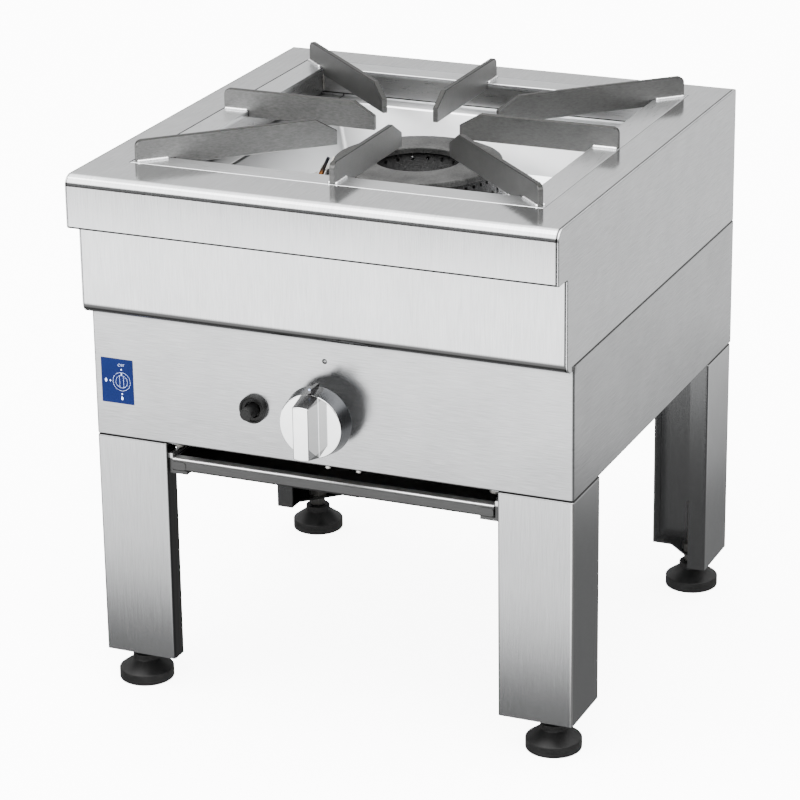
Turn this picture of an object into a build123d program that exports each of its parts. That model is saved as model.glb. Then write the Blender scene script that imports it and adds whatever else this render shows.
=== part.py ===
from build123d import *
import os
from math import atan2, cos, degrees, hypot, radians, sin, tan

# Free-standing single burner gas stove on four legs.
# Millimetres. Origin on the floor under the middle of the casing, X to the right, Y to the back.

os.makedirs("parts", exist_ok=True)

# Casing tiers
body_width = 450.0
body_depth = 468.0
apron_step = 21.4
band_step = 16.0
foot_height = 34.0
leg_height = 209.0
panel_height = 122.0
band_height = 79.5
apron_height = 47.5

# Sheet work
sheet = 1.5
bend_r = 2.5
edge_r = 2.0
seam_edge_r = 1.0
bullnose_r = 9.5
band_edge_r = 9.0
band_drop = 3.8
plate_seam = 0.6
fit = 0.2
hob_lip = 30.0
hob_flange = 14.0
hob_flange_inset = 18.0
hob_bolt_inset = 8.4
bottom_flange = 25.0
side_top_flange = 32.0
front_top_flange = 18.0

# Pan support
support_side_share = 34.5 / 450.0
support_front_margin = 56.0
support_back_margin = 37.5
support_seam = 0.8
angle_leg = 25.0
angle_drop = 23.0
angle_sheet = 3.0
angle_edge_r = 0.8
bar_height = 25.0
bar_thickness = 5.0
bar_drop = 6.0
bar_corner_r = 6.0
bar_chamfer = 0.6
bar_end_inset = 0.6
side_tip_reach = 41.0
corner_tip_reach = 77.0
tip_slope_length = 20.0
tip_slope_drop = 12.0

# Spill pan
pan_sheet = 1.0
pan_gap = 1.0
pan_bend_r = 2.5
basin_corner_r = 4.0
pan_rim_drop = 27.0
basin_side_room = 65.5
basin_front_ledge = 20.75
basin_run = 17.0
basin_depth = 47.0
basin_hole_gap = 7.0

# Burner
cap_drop = 29.0
cap_r = 76.0
cap_bore_r = 38.0
cap_thickness = 5.5
cap_edge_r = 1.5
burner_height = 33.5
skirt_inset = 2.0
skirt_flare = 7.0
skirt_height = 21.5
ring_wall = 5.0
well_r = 43.5
throat_r = 24.0
throat_wall = 9.0
port_r = 1.5
port_row_drops = (4.0, 13.0)
outer_port_count = 54
well_port_r = 1.7
well_port_drop = 5.5
well_port_count = 18

# Mixing tube and injector
neck_reach = 58.0
neck_r = 19.0
neck_bore_r = 14.0
tube_drop = 67.0
tube_r = 17.0
tube_bore_r = 13.0
tube_socket = 15.0
tube_boss_r = 20.0
tube_boss_length = 27.0
tube_length = 75.0
bell_r = 30.0
bell_bore_r = 20.0
bell_depth = 12.0
bell_plate = 4.0
yoke_bar = 6.0
yoke_length = 21.0
yoke_plate = 4.0
yoke_height = 22.0
running_fit = 0.05
holder_r = 8.0
holder_length = 18.0
holder_block = 20.0
holder_block_depth = 14.0
shutter_r = 24.0
shutter_plate = 1.5
shutter_hub_r = 11.0
shutter_hub = 6.0
injector_across = 12.0
injector_hex = 8.0
injector_tip_r = 3.0
injector_tip = 5.0
injector_orifice_r = 0.9

# Burner bracket
bracket_width = 36.0
bracket_sheet = 2.0
bracket_lip = 15.0
bracket_end_gap = 1.5
bracket_lip_inset = 12.0

# Control panel
control_x = -1.5
knob_height = 48.7
knob_gap = 15.4
knob_skirt = 17.0
knob_grip = 20.0
knob_back_r = 31.5
knob_front_r = 28.7
knob_wall = 2.5
knob_edge_r = 0.8
knob_boss_r = 9.0
grip_base_width = 16.0
grip_front_width = 14.4
grip_front_r = 24.0
grip_edge_r = 0.8
pointer_width = 3.0
pointer_rise = 2.2
index_rise = 48.0
index_r = 2.25
index_depth = 0.7
label_inset = 22.7
label_rise = 52.6
label_size = (31.3, 41.6)
label_sheet = 0.3

# Gas valve
spindle_r = 4.0
spindle_hole_gap = 3.0
valve_size = (44.0, 62.0, 46.0)
valve_setback = 5.0
valve_bore = 40.0
spindle_depth = 26.0
push_travel = 4.0
push_head = 3.0
push_rod_r = 2.0
push_rod = 21.0
spring_wall = 1.0
magnet_r = 9.0
magnet_length = 20.0
grub_r = 2.0
grub_setback = 6.0

# Push igniter
igniter_reach = 68.0
igniter_drop = 3.9
igniter_r = 9.0
igniter_length = 46.0
igniter_bore = 32.0
bezel_r = 12.6
bezel_depth = 5.0
bezel_recess_r = 10.6
bezel_recess = 1.5
bezel_hole_r = 7.6
button_r = 5.8
button_stand = 18.0
button_seat = 19.0
button_travel = 8.0
igniter_nut = 5.0
igniter_nut_across = 24.0
terminal_r = 2.5
terminal_length = 6.0

# Gas line
feed_r = 4.0
feed_setback = 7.0
supply_r = 7.0
supply_drop = 6.0
supply_setback = 36.0
supply_bend_r = 32.0
inlet_inset = 107.0
inlet_thread_r = 10.48
inlet_thread = 13.0
inlet_shoulder_r = 14.0
inlet_shoulder = 2.0
inlet_inside = 20.0
inlet_bore_r = 6.0
inlet_socket = 10.0
inlet_nut_across = 27.0
inlet_nut = 6.0
nut_length = 10.0
feed_nut_across = 14.0
supply_nut_across = 22.0
pilot_nut_across = 10.0

# Valve bracket and its screws
valve_shelf = 2.0
valve_foot = 21.0
screw_x = (-2.4, 26.6)
screw_setback = 5.0
screw_r = 1.5
screw_head_r = 2.75
screw_head = 3.0
screw_gap = 0.3

# Pilot group
pilot_lean = 26.0
pilot_gap = 16.5
pilot_spacing = 8.5
pilot_y_offset = -8.5
pilot_shelf_drop = 33.0
pilot_shelf_length = 25.0
pilot_shelf_margin = 7.0
pilot_sheet = 1.5
pilot_bend_r = 2.5
pilot_foot = 16.0
thermo_r = 2.2
thermo_tip_r = 1.6
thermo_sleeve = 15.0
thermo_tip = 12.0
pilot_r = 3.0
pilot_hood_r = 4.5
pilot_stem = 6.0
pilot_hood = 9.0
electrode_r = 2.8
electrode_rise = 11.0
electrode_wire_r = 0.9
electrode_wire = 11.0
pilot_tail = 10.0
pilot_collar_r = 3.6
pilot_collar = 4.0
floor_hole_r = 4.5
thermo_lead_r = 1.2
pilot_tube_r = 2.0
ignition_lead_r = 2.5

# Legs and feet
leg_width = 68.8
leg_depth = 66.7
leg_lip = 17.2
foot_plate_reach = 50.0
leg_sheet = 2.0
leg_tab = 13.0
leg_tab_depth = 28.0
leg_tab_r = 8.0
leg_tab_setback = 5.5
foot_inset_x = 26.2
foot_inset_y = 25.2
pad_r = 25.0
pad_rim = 10.0
pad_cone = 9.5
pad_neck_r = 12.0
pad_height = 25.0
pad_edge_r = 1.5
stud_r = 5.0
stud_socket = 13.0
stud_length = 73.0
stud_hole_gap = 0.5
hex_across = 14.0
hex_length = 8.6
foot_nut_across = 17.0
foot_nut = 8.0
bolt_r = 3.0
bolt_gap = 0.3
bolt_head_across = 10.0
bolt_head = 4.0
bolt_nut = 5.0
side_bolt_setback = 45.0
flange_bolt_inset = 12.0

# Drip tray and runners
runner_sheet = 3.0
runner_foot = 17.0
runner_web = 18.5
runner_drop = 28.9
runner_end_gap = 4.0
tray_gap = 0.8
tray_sheet = 1.2
tray_height = 11.8
tray_lip_r = 3.0
tray_return = 9.0
tray_setback = 2.0
tray_back_gap = 20.0
tray_flap = 13.0
tray_flap_rise = 1.5
tray_flap_sheet = 0.6
tray_flap_r = 2.5
runner_screw_r = 2.0
runner_screw_head_r = 3.5
runner_screw_head = 1.8

# Planes and levels that follow from the sizes above
half_width = body_width / 2
back_y = body_depth / 2
apron_y = -back_y
band_y = apron_y + apron_step
panel_y = band_y + band_step
leg_z = foot_height
panel_z = leg_z + leg_height
band_z = panel_z + panel_height
apron_z = band_z + band_height
hem_z = band_z - band_drop
hob_z = apron_z + apron_height

support_width = body_width * (1 - 2 * support_side_share)
support_depth = body_depth - support_front_margin - support_back_margin
support_y = (support_front_margin - support_back_margin) / 2
wall_half_x = support_width / 2 - angle_leg
wall_half_y = support_depth / 2 - angle_leg
opening_width = support_width + 2 * support_seam
opening_depth = support_depth + 2 * support_seam

pan_flange_z = hob_z - angle_sheet - pan_sheet
ledge_z = pan_flange_z - sheet
upstand_half_x = wall_half_x + angle_sheet + pan_gap + pan_sheet
upstand_half_y = wall_half_y + angle_sheet + pan_gap + pan_sheet
pan_rim_z = hob_z - pan_rim_drop
basin_floor_z = pan_rim_z - basin_depth
basin_half_y = upstand_half_y - basin_front_ledge

cap_z = hob_z - cap_drop
land_z = cap_z - cap_thickness
skirt_r = cap_r - skirt_inset
base_r = skirt_r + skirt_flare
basin_half_x = base_r + basin_side_room
burner_base_z = land_z - burner_height
bracket_z = band_z + bracket_sheet
burner_axis = Axis((0, support_y, 0), (0, 0, 1))

knob_z = panel_z + knob_height
panel_back_y = panel_y + sheet
knob_back_y = panel_y - knob_gap
knob_face_y = knob_back_y - knob_skirt
valve_front_y = panel_back_y + valve_setback
valve_back_y = valve_front_y + valve_size[1]
valve_bottom_z = knob_z - valve_size[2] / 2
valve_top_z = knob_z + valve_size[2] / 2
spindle_end_y = valve_front_y + spindle_depth
igniter_x = control_x - igniter_reach
label_x = -half_width + label_inset
inlet_x = half_width - inlet_inset
igniter_z = knob_z - igniter_drop

tube_z = cap_z - tube_drop
neck_y = support_y - neck_reach
boss_front_y = neck_y - tube_boss_length
mouth_y = boss_front_y - (tube_length - tube_socket)
yoke_y = mouth_y - yoke_length
holder_face_y = yoke_y - yoke_plate
holder_nose_y = holder_face_y + holder_length
feed_y = holder_face_y - holder_block_depth + feed_setback
supply_z = knob_z - supply_drop
supply_y = valve_front_y + supply_setback

runner_x = half_width - leg_width - fit
runner_z = panel_z - runner_drop
runner_screw_z = runner_z + runner_web / 2
runner_screw_rows = (panel_y + leg_lip / 2, back_y - leg_lip / 2)


def keep(piece, name):
    """Label a finished piece and write it as its own STEP file."""
    piece.part.label = name
    export_step(piece.part, f"parts/{name}.step")


def along_y(x, z):
    """Plane for pieces turned about a front to back axis: radius first, then Y."""
    return Plane(origin=(x, 0, z))


def facing_front(x, y, z):
    """Plane parallel to the control panel, its normal pointing to the front."""
    return Plane(origin=(x, y, z), x_dir=(1, 0, 0), z_dir=(0, -1, 0))


def y_axis(x, z):
    """Front to back axis through one point of the panel."""
    return Axis((x, 0, z), (0, 1, 0))


def burner_plane():
    """Upright plane through the burner axis: radius first, then height."""
    return Plane(origin=(0, support_y, 0), x_dir=(1, 0, 0), z_dir=(0, -1, 0))


def radial_plane(angle):
    """Upright plane from the burner axis outwards at an angle in degrees."""
    a = radians(angle)
    return Plane(origin=(0, support_y, 0), x_dir=(cos(a), sin(a), 0), z_dir=(sin(a), -cos(a), 0))


# Places of the fasteners
hob_bolt_places = [
    (side * (half_width - hob_bolt_inset), y)
    for side in (-1, 1)
    for y in (panel_y + front_top_flange + leg_depth, back_y - hob_flange_inset - leg_depth)
]
bracket_screw_places = [
    (side * (half_width - (hob_flange + side_top_flange) / 2), support_y + row * bracket_width / 3)
    for side in (-1, 1)
    for row in (-1, 1)
]
valve_screw_places = [(x, panel_y + screw_setback) for x in screw_x]


def leg_corner(side, end):
    """Outer corner of a leg, side -1 left or 1 right, end -1 front or 1 back."""
    return side * half_width, (panel_y if end < 0 else back_y)


def leg_point(side, end, inward, deep):
    """Point measured from a leg's outer corner, inwards along X and along Y."""
    x, y = leg_corner(side, end)
    return x - side * inward, y - end * deep


leg_places = {
    "front_left": (-1, -1),
    "front_right": (1, -1),
    "back_left": (-1, 1),
    "back_right": (1, 1),
}
tab_bolt = (leg_width + leg_tab / 2, leg_tab_setback + leg_tab_depth / 4)
side_bolt = (flange_bolt_inset, side_bolt_setback)
leg_bolt_places = [
    leg_point(side, end, *bolt)
    for side, end in leg_places.values()
    for bolt in (tab_bolt, side_bolt)
]

# Hob top: one sheet folded into rear lip, top, apron, step, band and a hem that meets the panel
fold_corners = [
    (back_y, hob_z - hob_lip),
    (back_y, hob_z),
    (apron_y, hob_z),
    (apron_y, apron_z),
    (band_y, apron_z),
    (band_y, hem_z),
    (panel_y, hem_z),
]
fold_radii = [bend_r, bullnose_r, bend_r, bend_r, band_edge_r]
hob_length = body_width - 2 * (sheet + plate_seam)
with BuildPart() as hob_top:
    with BuildSketch(Plane.YZ.offset(-hob_length / 2)):
        with BuildLine():
            FilletPolyline(*fold_corners, radius=fold_radii)
            offset(amount=sheet, side=Side.LEFT)
        make_face()
    extrude(amount=hob_length)
    with BuildSketch(Plane.XY.offset(hob_z)):
        with Locations((0, support_y)):
            Rectangle(opening_width, opening_depth)
    extrude(amount=-sheet, mode=Mode.SUBTRACT)
    with BuildSketch(Plane.XY.offset(ledge_z)):
        with Locations((0, support_y)):
            Rectangle(opening_width + 2 * sheet, opening_depth + 2 * sheet)
            Rectangle(opening_width, opening_depth, mode=Mode.SUBTRACT)
    extrude(amount=hob_z - ledge_z)
    with BuildSketch(Plane.XY.offset(ledge_z)):
        with Locations((0, support_y)):
            Rectangle(opening_width + sheet, opening_depth + sheet)
            Rectangle(2 * (upstand_half_x + pan_gap), 2 * (upstand_half_y + pan_gap), mode=Mode.SUBTRACT)
    extrude(amount=sheet)
keep(hob_top, "hob_top")

# Hob sides: end plates with the folded outline and a flange at the foot
hob_flange_front = panel_y + front_top_flange + hob_flange / 2
hob_flange_back = back_y - hob_flange_inset
for side_name, side in (("left", -1), ("right", 1)):
    with BuildPart() as hob_side:
        with BuildSketch(Plane.YZ.offset(side * half_width)):
            with BuildLine():
                outline = FilletPolyline((back_y, band_z), *fold_corners[1:], radius=fold_radii)
                Polyline(outline @ 1, (panel_y, band_z), outline @ 0)
            make_face()
        extrude(amount=-side * sheet)
        with BuildSketch(Plane.XY.offset(band_z)):
            flange_x = side * (half_width - hob_flange / 2)
            with Locations((flange_x, (hob_flange_front + hob_flange_back) / 2)):
                Rectangle(hob_flange, hob_flange_back - hob_flange_front)
            with Locations(*hob_bolt_places):
                Circle(bolt_r + bolt_gap, mode=Mode.SUBTRACT)
        extrude(amount=sheet)
        outer_face = hob_side.faces().sort_by(Axis.X)[-1 if side > 0 else 0]
        fillet(outer_face.edges(), radius=seam_edge_r)
    keep(hob_side, f"hob_side_{side_name}")

# Hob back: panel under the rear lip, with a flange at the foot
with BuildPart() as hob_back:
    with BuildSketch(Plane.XZ.offset(-back_y)):
        back_height = apron_z + apron_height - hob_lip - plate_seam - band_z
        with Locations((0, band_z + back_height / 2)):
            Rectangle(hob_length, back_height)
    extrude(amount=sheet)
    with BuildSketch(Plane.XY.offset(band_z)):
        with Locations((0, back_y - hob_flange / 2)):
            Rectangle(hob_length, hob_flange)
    extrude(amount=sheet)
keep(hob_back, "hob_back")

# Lower casing: control panel folded round into both sides, flanged in at foot and top
casing_length = back_y - panel_y
with BuildPart() as lower_casing:
    for inset, corner_r, how in ((0, bend_r, Mode.ADD), (sheet, bend_r - sheet, Mode.SUBTRACT)):
        with BuildSketch(Plane.XY.offset(panel_z + inset)):
            with Locations((0, back_y)):
                Rectangle(body_width - 2 * inset, casing_length - inset, align=(Align.CENTER, Align.MAX))
            fillet(vertices().group_by(Axis.Y)[0], radius=corner_r)
        extrude(amount=panel_height - 2 * inset, mode=how)
        if how == Mode.ADD:
            rims = lower_casing.edges().group_by(Axis.Z)
            fillet((rims[0] + rims[-1]).filter_by(lambda e: e.center().Y < back_y - fit), radius=edge_r)
    for flange_z, front_flange, side_flange in (
        (panel_z, bottom_flange, bottom_flange),
        (band_z - sheet, front_top_flange, side_top_flange),
    ):
        with BuildSketch(Plane.XY.offset(flange_z)):
            with Locations((0, back_y)):
                Rectangle(
                    body_width - 2 * side_flange, casing_length - front_flange, align=(Align.CENTER, Align.MAX)
                )
        extrude(amount=sheet, mode=Mode.SUBTRACT)
    with BuildSketch(facing_front(control_x, panel_back_y, knob_z)):
        Circle(spindle_r + spindle_hole_gap)
        with Locations((igniter_x - control_x, igniter_z - knob_z)):
            Circle(igniter_r + fit)
    extrude(amount=sheet, mode=Mode.SUBTRACT)
    dimple_r = (index_r**2 + index_depth**2) / (2 * index_depth)
    with Locations((control_x, panel_y + index_depth - dimple_r, knob_z + index_rise)):
        Sphere(dimple_r, mode=Mode.SUBTRACT)
    with BuildSketch(Plane.XY.offset(panel_z)):
        with Locations(*leg_bolt_places):
            Circle(bolt_r + bolt_gap)
        with Locations(*valve_screw_places):
            Circle(screw_r + screw_gap)
    extrude(amount=sheet, mode=Mode.SUBTRACT)
    with BuildSketch(Plane.XY.offset(band_z)):
        with Locations(*hob_bolt_places):
            Circle(bolt_r + bolt_gap)
        with Locations(*bracket_screw_places):
            Circle(screw_r + screw_gap)
    extrude(amount=-sheet, mode=Mode.SUBTRACT)
keep(lower_casing, "lower_casing")

# Lower back: panel between the casing sides, with the gas inlet hole
back_panel_half = half_width - sheet - fit
with BuildPart() as lower_back:
    with BuildSketch(Plane.XZ.offset(-back_y)):
        with Locations((0, panel_z + panel_height / 2)):
            Rectangle(2 * back_panel_half, panel_height)
        with Locations((inlet_x, supply_z)):
            Circle(inlet_thread_r + screw_gap, mode=Mode.SUBTRACT)
    extrude(amount=sheet)
    for flange_z, flange, side_flange in (
        (panel_z, bottom_flange, bottom_flange),
        (band_z - sheet, front_top_flange, side_top_flange),
    ):
        with BuildSketch(Plane.XY.offset(flange_z)):
            with Locations((0, back_y - flange / 2)):
                Rectangle(body_width - 2 * (side_flange + fit), flange)
            with Locations(*leg_bolt_places):
                Circle(bolt_r + bolt_gap, mode=Mode.SUBTRACT)
        extrude(amount=sheet)
    for side in (-1, 1):
        for flange_z, side_flange in ((panel_z, bottom_flange), (band_z - sheet, side_top_flange)):
            with BuildSketch(Plane.XY.offset(flange_z)):
                with Locations((side * (half_width - side_flange / 2), back_y)):
                    Rectangle(side_flange + 2 * fit, 2 * sheet + fit)
            extrude(amount=sheet, mode=Mode.SUBTRACT)
keep(lower_back, "lower_back")

# Control label: thin plate that carries the knob positions
with BuildPart() as control_label:
    with BuildSketch(facing_front(label_x, panel_y, panel_z + label_rise)):
        Rectangle(*label_size)
    extrude(amount=label_sheet)
keep(control_label, "control_label")

# Pan support: welded frame of steel angle, flange outwards and flush with the top
with BuildPart() as pan_support_frame:
    with BuildSketch(Plane.XY.offset(hob_z - angle_sheet)):
        with Locations((0, support_y)):
            Rectangle(support_width, support_depth)
            Rectangle(2 * wall_half_x, 2 * wall_half_y, mode=Mode.SUBTRACT)
    extrude(amount=angle_sheet)
    with BuildSketch(Plane.XY.offset(hob_z - angle_drop)):
        with Locations((0, support_y)):
            Rectangle(2 * (wall_half_x + angle_sheet), 2 * (wall_half_y + angle_sheet))
            Rectangle(2 * wall_half_x, 2 * wall_half_y, mode=Mode.SUBTRACT)
    extrude(amount=angle_drop)
    fillet(pan_support_frame.edges().group_by(Axis.Z)[-1], radius=angle_edge_r)
keep(pan_support_frame, "pan_support_frame")

# Pot fingers: flat bars notched over the frame, pointing at the burner
finger_top_z = hob_z - bar_drop + bar_height
corner_angle = degrees(atan2(support_depth, support_width))
corner_reach = hypot(support_width, support_depth) / 2 - bar_thickness
corner_step = hypot(wall_half_x, wall_half_y) - bar_thickness
side_fingers = [
    (0, support_width / 2 - bar_end_inset, wall_half_x - fit, side_tip_reach),
    (90, support_depth / 2 - bar_end_inset, wall_half_y - fit, side_tip_reach),
    (180, support_width / 2 - bar_end_inset, wall_half_x - fit, side_tip_reach),
    (270, support_depth / 2 - bar_end_inset, wall_half_y - fit, side_tip_reach),
]
corner_fingers = [
    (angle, corner_reach, corner_step, corner_tip_reach)
    for angle in (corner_angle, 180 - corner_angle, 180 + corner_angle, 360 - corner_angle)
]
for node_name, fingers in (("pan_side_fingers", side_fingers), ("pan_corner_fingers", corner_fingers)):
    with BuildPart() as finger_set:
        for angle, end, step, tip in fingers:
            with BuildSketch(radial_plane(angle)):
                with BuildLine():
                    bar_edge = FilletPolyline(
                        (end, hob_z),
                        (end, finger_top_z),
                        (tip + tip_slope_length, finger_top_z),
                        radius=bar_corner_r,
                    )
                    Polyline(
                        bar_edge @ 1,
                        (tip, finger_top_z - tip_slope_drop),
                        (tip, finger_top_z - bar_height),
                        (step, finger_top_z - bar_height),
                        (step, hob_z),
                        bar_edge @ 0,
                    )
                make_face()
            extrude(amount=bar_thickness / 2, both=True)
        chamfer(finger_set.faces().sort_by(SortBy.AREA)[-2 * len(fingers) :].edges(), length=bar_chamfer)
    keep(finger_set, node_name)

# Pilot group: rods side by side, leaning towards the burner
lean = radians(pilot_lean)
pilot_shelf_z = cap_z - pilot_shelf_drop
pilot_x = -(base_r + pilot_gap)
rod_dir = Vector(sin(lean), 0, cos(lean))
rod_side = Vector(cos(lean), 0, -sin(lean))
rod_rows = {
    name: support_y + pilot_y_offset + index * pilot_spacing
    for index, name in enumerate(("thermocouple", "pilot_burner", "spark_electrode"))
}


def rod_plane(row_y, distance):
    """Plane square to a leaning rod, at a distance along it from the pilot shelf."""
    start = Vector(pilot_x, row_y, pilot_shelf_z) + rod_dir * distance
    return Plane(origin=start, x_dir=rod_side, z_dir=rod_dir)


def rod_point(row_y, distance):
    """Point on a leaning rod's axis."""
    point = Vector(pilot_x, row_y, pilot_shelf_z) + rod_dir * distance
    return point.X, point.Y, point.Z


def floor_cross_x():
    """Where the leaning rods cross the spill pan floor."""
    return pilot_x - (pilot_shelf_z - basin_floor_z) * tan(lean)


# Spill pan: hung by its flange under the pan support, with a sunken basin
basin_hole_r = base_r + basin_hole_gap
pan_flange_half_x = support_width / 2 - fit
pan_flange_half_y = support_depth / 2 - fit
with BuildPart() as spill_pan:
    with BuildSketch(Plane.XY.offset(pan_flange_z)):
        with Locations((0, support_y)):
            Rectangle(2 * pan_flange_half_x, 2 * pan_flange_half_y)
            Rectangle(2 * (upstand_half_x - pan_sheet), 2 * (upstand_half_y - pan_sheet), mode=Mode.SUBTRACT)
    extrude(amount=pan_sheet)
    with BuildSketch(Plane.XY.offset(pan_rim_z - pan_sheet)):
        with Locations((0, support_y)):
            Rectangle(2 * upstand_half_x, 2 * upstand_half_y)
            Rectangle(2 * (upstand_half_x - pan_sheet), 2 * (upstand_half_y - pan_sheet), mode=Mode.SUBTRACT)
    extrude(amount=pan_flange_z + pan_sheet - pan_rim_z + pan_sheet)
    with BuildSketch(Plane.XY.offset(pan_rim_z - pan_sheet)):
        with Locations((0, support_y)):
            Rectangle(2 * upstand_half_x - pan_sheet, 2 * upstand_half_y - pan_sheet)
            RectangleRounded(2 * basin_half_x, 2 * basin_half_y, basin_corner_r, mode=Mode.SUBTRACT)
    extrude(amount=pan_sheet)
    for growth, z_shift, how in ((pan_sheet, pan_sheet, Mode.ADD), (0, 0, Mode.SUBTRACT)):
        for level_z, grow in ((pan_rim_z, growth), (basin_floor_z - z_shift, growth - basin_run)):
            with BuildSketch(Plane.XY.offset(level_z)):
                with Locations((0, support_y)):
                    RectangleRounded(
                        2 * (basin_half_x + grow), 2 * (basin_half_y + grow), basin_corner_r + growth
                    )
        loft(mode=how)
    with BuildSketch(Plane.XY.offset(basin_floor_z)):
        with Locations((0, support_y)):
            Circle(basin_hole_r)
        with Locations(*[(floor_cross_x(), row_y) for row_y in rod_rows.values()]):
            Circle(floor_hole_r)
    extrude(amount=-pan_sheet, mode=Mode.SUBTRACT)
    for fold_z, fold_r in ((pan_rim_z, pan_bend_r), (pan_rim_z - pan_sheet, pan_bend_r - pan_sheet)):
        mouth = spill_pan.edges().filter_by_position(Axis.Z, fold_z - fit, fold_z + fit)
        for axis, middle, half in ((Axis.X, 0, basin_half_x), (Axis.Y, support_y, basin_half_y)):
            reach = half + 2 * pan_sheet
            mouth = mouth.filter_by_position(axis, middle - reach, middle + reach)
        fillet(mouth, radius=fold_r)
keep(spill_pan, "spill_pan")

# Burner body: cast ring with drilled ports, open well, throat, neck and tube socket
well_slope = (well_r - throat_r) / (burner_height - ring_wall / 2)
chamber_floor_z = burner_base_z + ring_wall
with BuildPart() as burner_body:
    with BuildSketch(burner_plane()):
        with BuildLine():
            Polyline(
                (well_r, land_z),
                (skirt_r, land_z),
                (base_r, land_z - skirt_height),
                (base_r, burner_base_z),
                (throat_r + throat_wall, burner_base_z - ring_wall),
                (throat_r + throat_wall, bracket_z),
                (throat_r, bracket_z),
                (throat_r, burner_base_z + ring_wall / 2),
                close=True,
            )
        make_face()
    revolve(axis=burner_axis)
    with BuildSketch(Plane.XY.offset(tube_z)):
        with Locations((0, neck_y)):
            Circle(neck_r)
    extrude(amount=burner_base_z + ring_wall - tube_z)
    with BuildSketch(facing_front(0, neck_y, tube_z)):
        Circle(tube_boss_r)
    extrude(amount=tube_boss_length)
    with Locations((0, neck_y, tube_z)):
        Sphere(tube_boss_r)
    with BuildSketch(burner_plane()):
        with BuildLine():
            Polyline(
                (well_r + ring_wall, land_z),
                (skirt_r - ring_wall, land_z),
                (base_r - ring_wall, land_z - skirt_height),
                (base_r - ring_wall, chamber_floor_z),
                (well_r + ring_wall - (land_z - chamber_floor_z) * well_slope, chamber_floor_z),
                close=True,
            )
        make_face()
    revolve(axis=burner_axis, mode=Mode.SUBTRACT)
    with BuildSketch(Plane.XY.offset(tube_z)):
        with Locations((0, neck_y)):
            Circle(neck_bore_r)
    extrude(amount=chamber_floor_z - tube_z, mode=Mode.SUBTRACT)
    with BuildSketch(facing_front(0, neck_y, tube_z)):
        Circle(tube_bore_r)
    extrude(amount=tube_boss_length, mode=Mode.SUBTRACT)
    with BuildSketch(facing_front(0, boss_front_y + tube_socket, tube_z)):
        Circle(tube_r + running_fit)
    extrude(amount=tube_socket, mode=Mode.SUBTRACT)
    for row, drop in enumerate(port_row_drops):
        with Locations(Location((0, support_y, land_z - drop))):
            with PolarLocations(skirt_r, outer_port_count, start_angle=row * 180 / outer_port_count):
                Cylinder(port_r, 2 * ring_wall + skirt_flare, rotation=(0, 90, 0), mode=Mode.SUBTRACT)
    with Locations(Location((0, support_y, land_z - well_port_drop))):
        with PolarLocations(well_r, well_port_count):
            Cylinder(well_port_r, 2 * ring_wall + skirt_flare, rotation=(0, 90, 0), mode=Mode.SUBTRACT)
keep(burner_body, "burner_body")

# Burner cap: flat cast ring on the two lands of the body
with BuildPart() as burner_cap:
    with BuildSketch(Plane.XY.offset(land_z)):
        with Locations((0, support_y)):
            Circle(cap_r)
            Circle(cap_bore_r, mode=Mode.SUBTRACT)
    extrude(amount=cap_thickness)
    fillet(burner_cap.edges().group_by(Axis.Z)[-1], radius=cap_edge_r)
keep(burner_cap, "burner_cap")

# Burner bracket: channel across the casing that carries the burner
bracket_half = half_width - hob_flange - bracket_end_gap
with BuildPart() as burner_bracket:
    with BuildSketch(Plane.XY.offset(band_z)):
        with Locations((0, support_y)):
            Rectangle(2 * bracket_half, bracket_width)
            Circle(throat_r, mode=Mode.SUBTRACT)
        with Locations(*bracket_screw_places):
            Circle(screw_r + screw_gap, mode=Mode.SUBTRACT)
    extrude(amount=bracket_sheet)
    lip_half = half_width - side_top_flange - bracket_lip_inset
    with BuildSketch(Plane.XY.offset(band_z)):
        for row in (-1, 1):
            with Locations((0, support_y + row * (bracket_width - bracket_sheet) / 2)):
                Rectangle(2 * lip_half, bracket_sheet)
    extrude(amount=-bracket_lip)
    with BuildSketch(Plane.XY.offset(band_z - bracket_lip)):
        with Locations((0, support_y)):
            Circle(throat_r)
    extrude(amount=bracket_lip, mode=Mode.SUBTRACT)
keep(burner_bracket, "burner_bracket")

# Mixing tube: pipe with a bell mouth and a yoke that holds the injector
with BuildPart() as mixing_tube:
    with BuildSketch(along_y(0, tube_z)):
        with BuildLine():
            Polyline(
                (tube_bore_r, boss_front_y + tube_socket),
                (tube_r, boss_front_y + tube_socket),
                (tube_r, mouth_y + bell_depth),
                (bell_bore_r + tube_r - tube_bore_r, mouth_y + bell_plate),
                (bell_r, mouth_y + bell_plate),
                (bell_r, mouth_y),
                (bell_bore_r, mouth_y),
                (tube_bore_r, mouth_y + bell_depth),
                close=True,
            )
        make_face()
    revolve(axis=y_axis(0, tube_z))
    with BuildSketch(facing_front(0, mouth_y, tube_z)):
        for side in (-1, 1):
            with Locations((side * (bell_r - yoke_bar / 2), 0)):
                Rectangle(yoke_bar, yoke_bar)
    extrude(amount=yoke_length)
    with BuildSketch(facing_front(0, yoke_y, tube_z)):
        Rectangle(2 * bell_r, yoke_height)
        Circle(holder_r + running_fit, mode=Mode.SUBTRACT)
    extrude(amount=yoke_plate)
keep(mixing_tube, "mixing_tube")

# Injector holder: block on the feed pipe with a round nose through the yoke
with BuildPart() as injector_holder:
    with BuildSketch(facing_front(0, holder_face_y, tube_z)):
        Rectangle(holder_block, holder_block)
    extrude(amount=holder_block_depth)
    with BuildSketch(facing_front(0, holder_face_y, tube_z)):
        Circle(holder_r)
    extrude(amount=-holder_length)
keep(injector_holder, "injector_holder")

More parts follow.
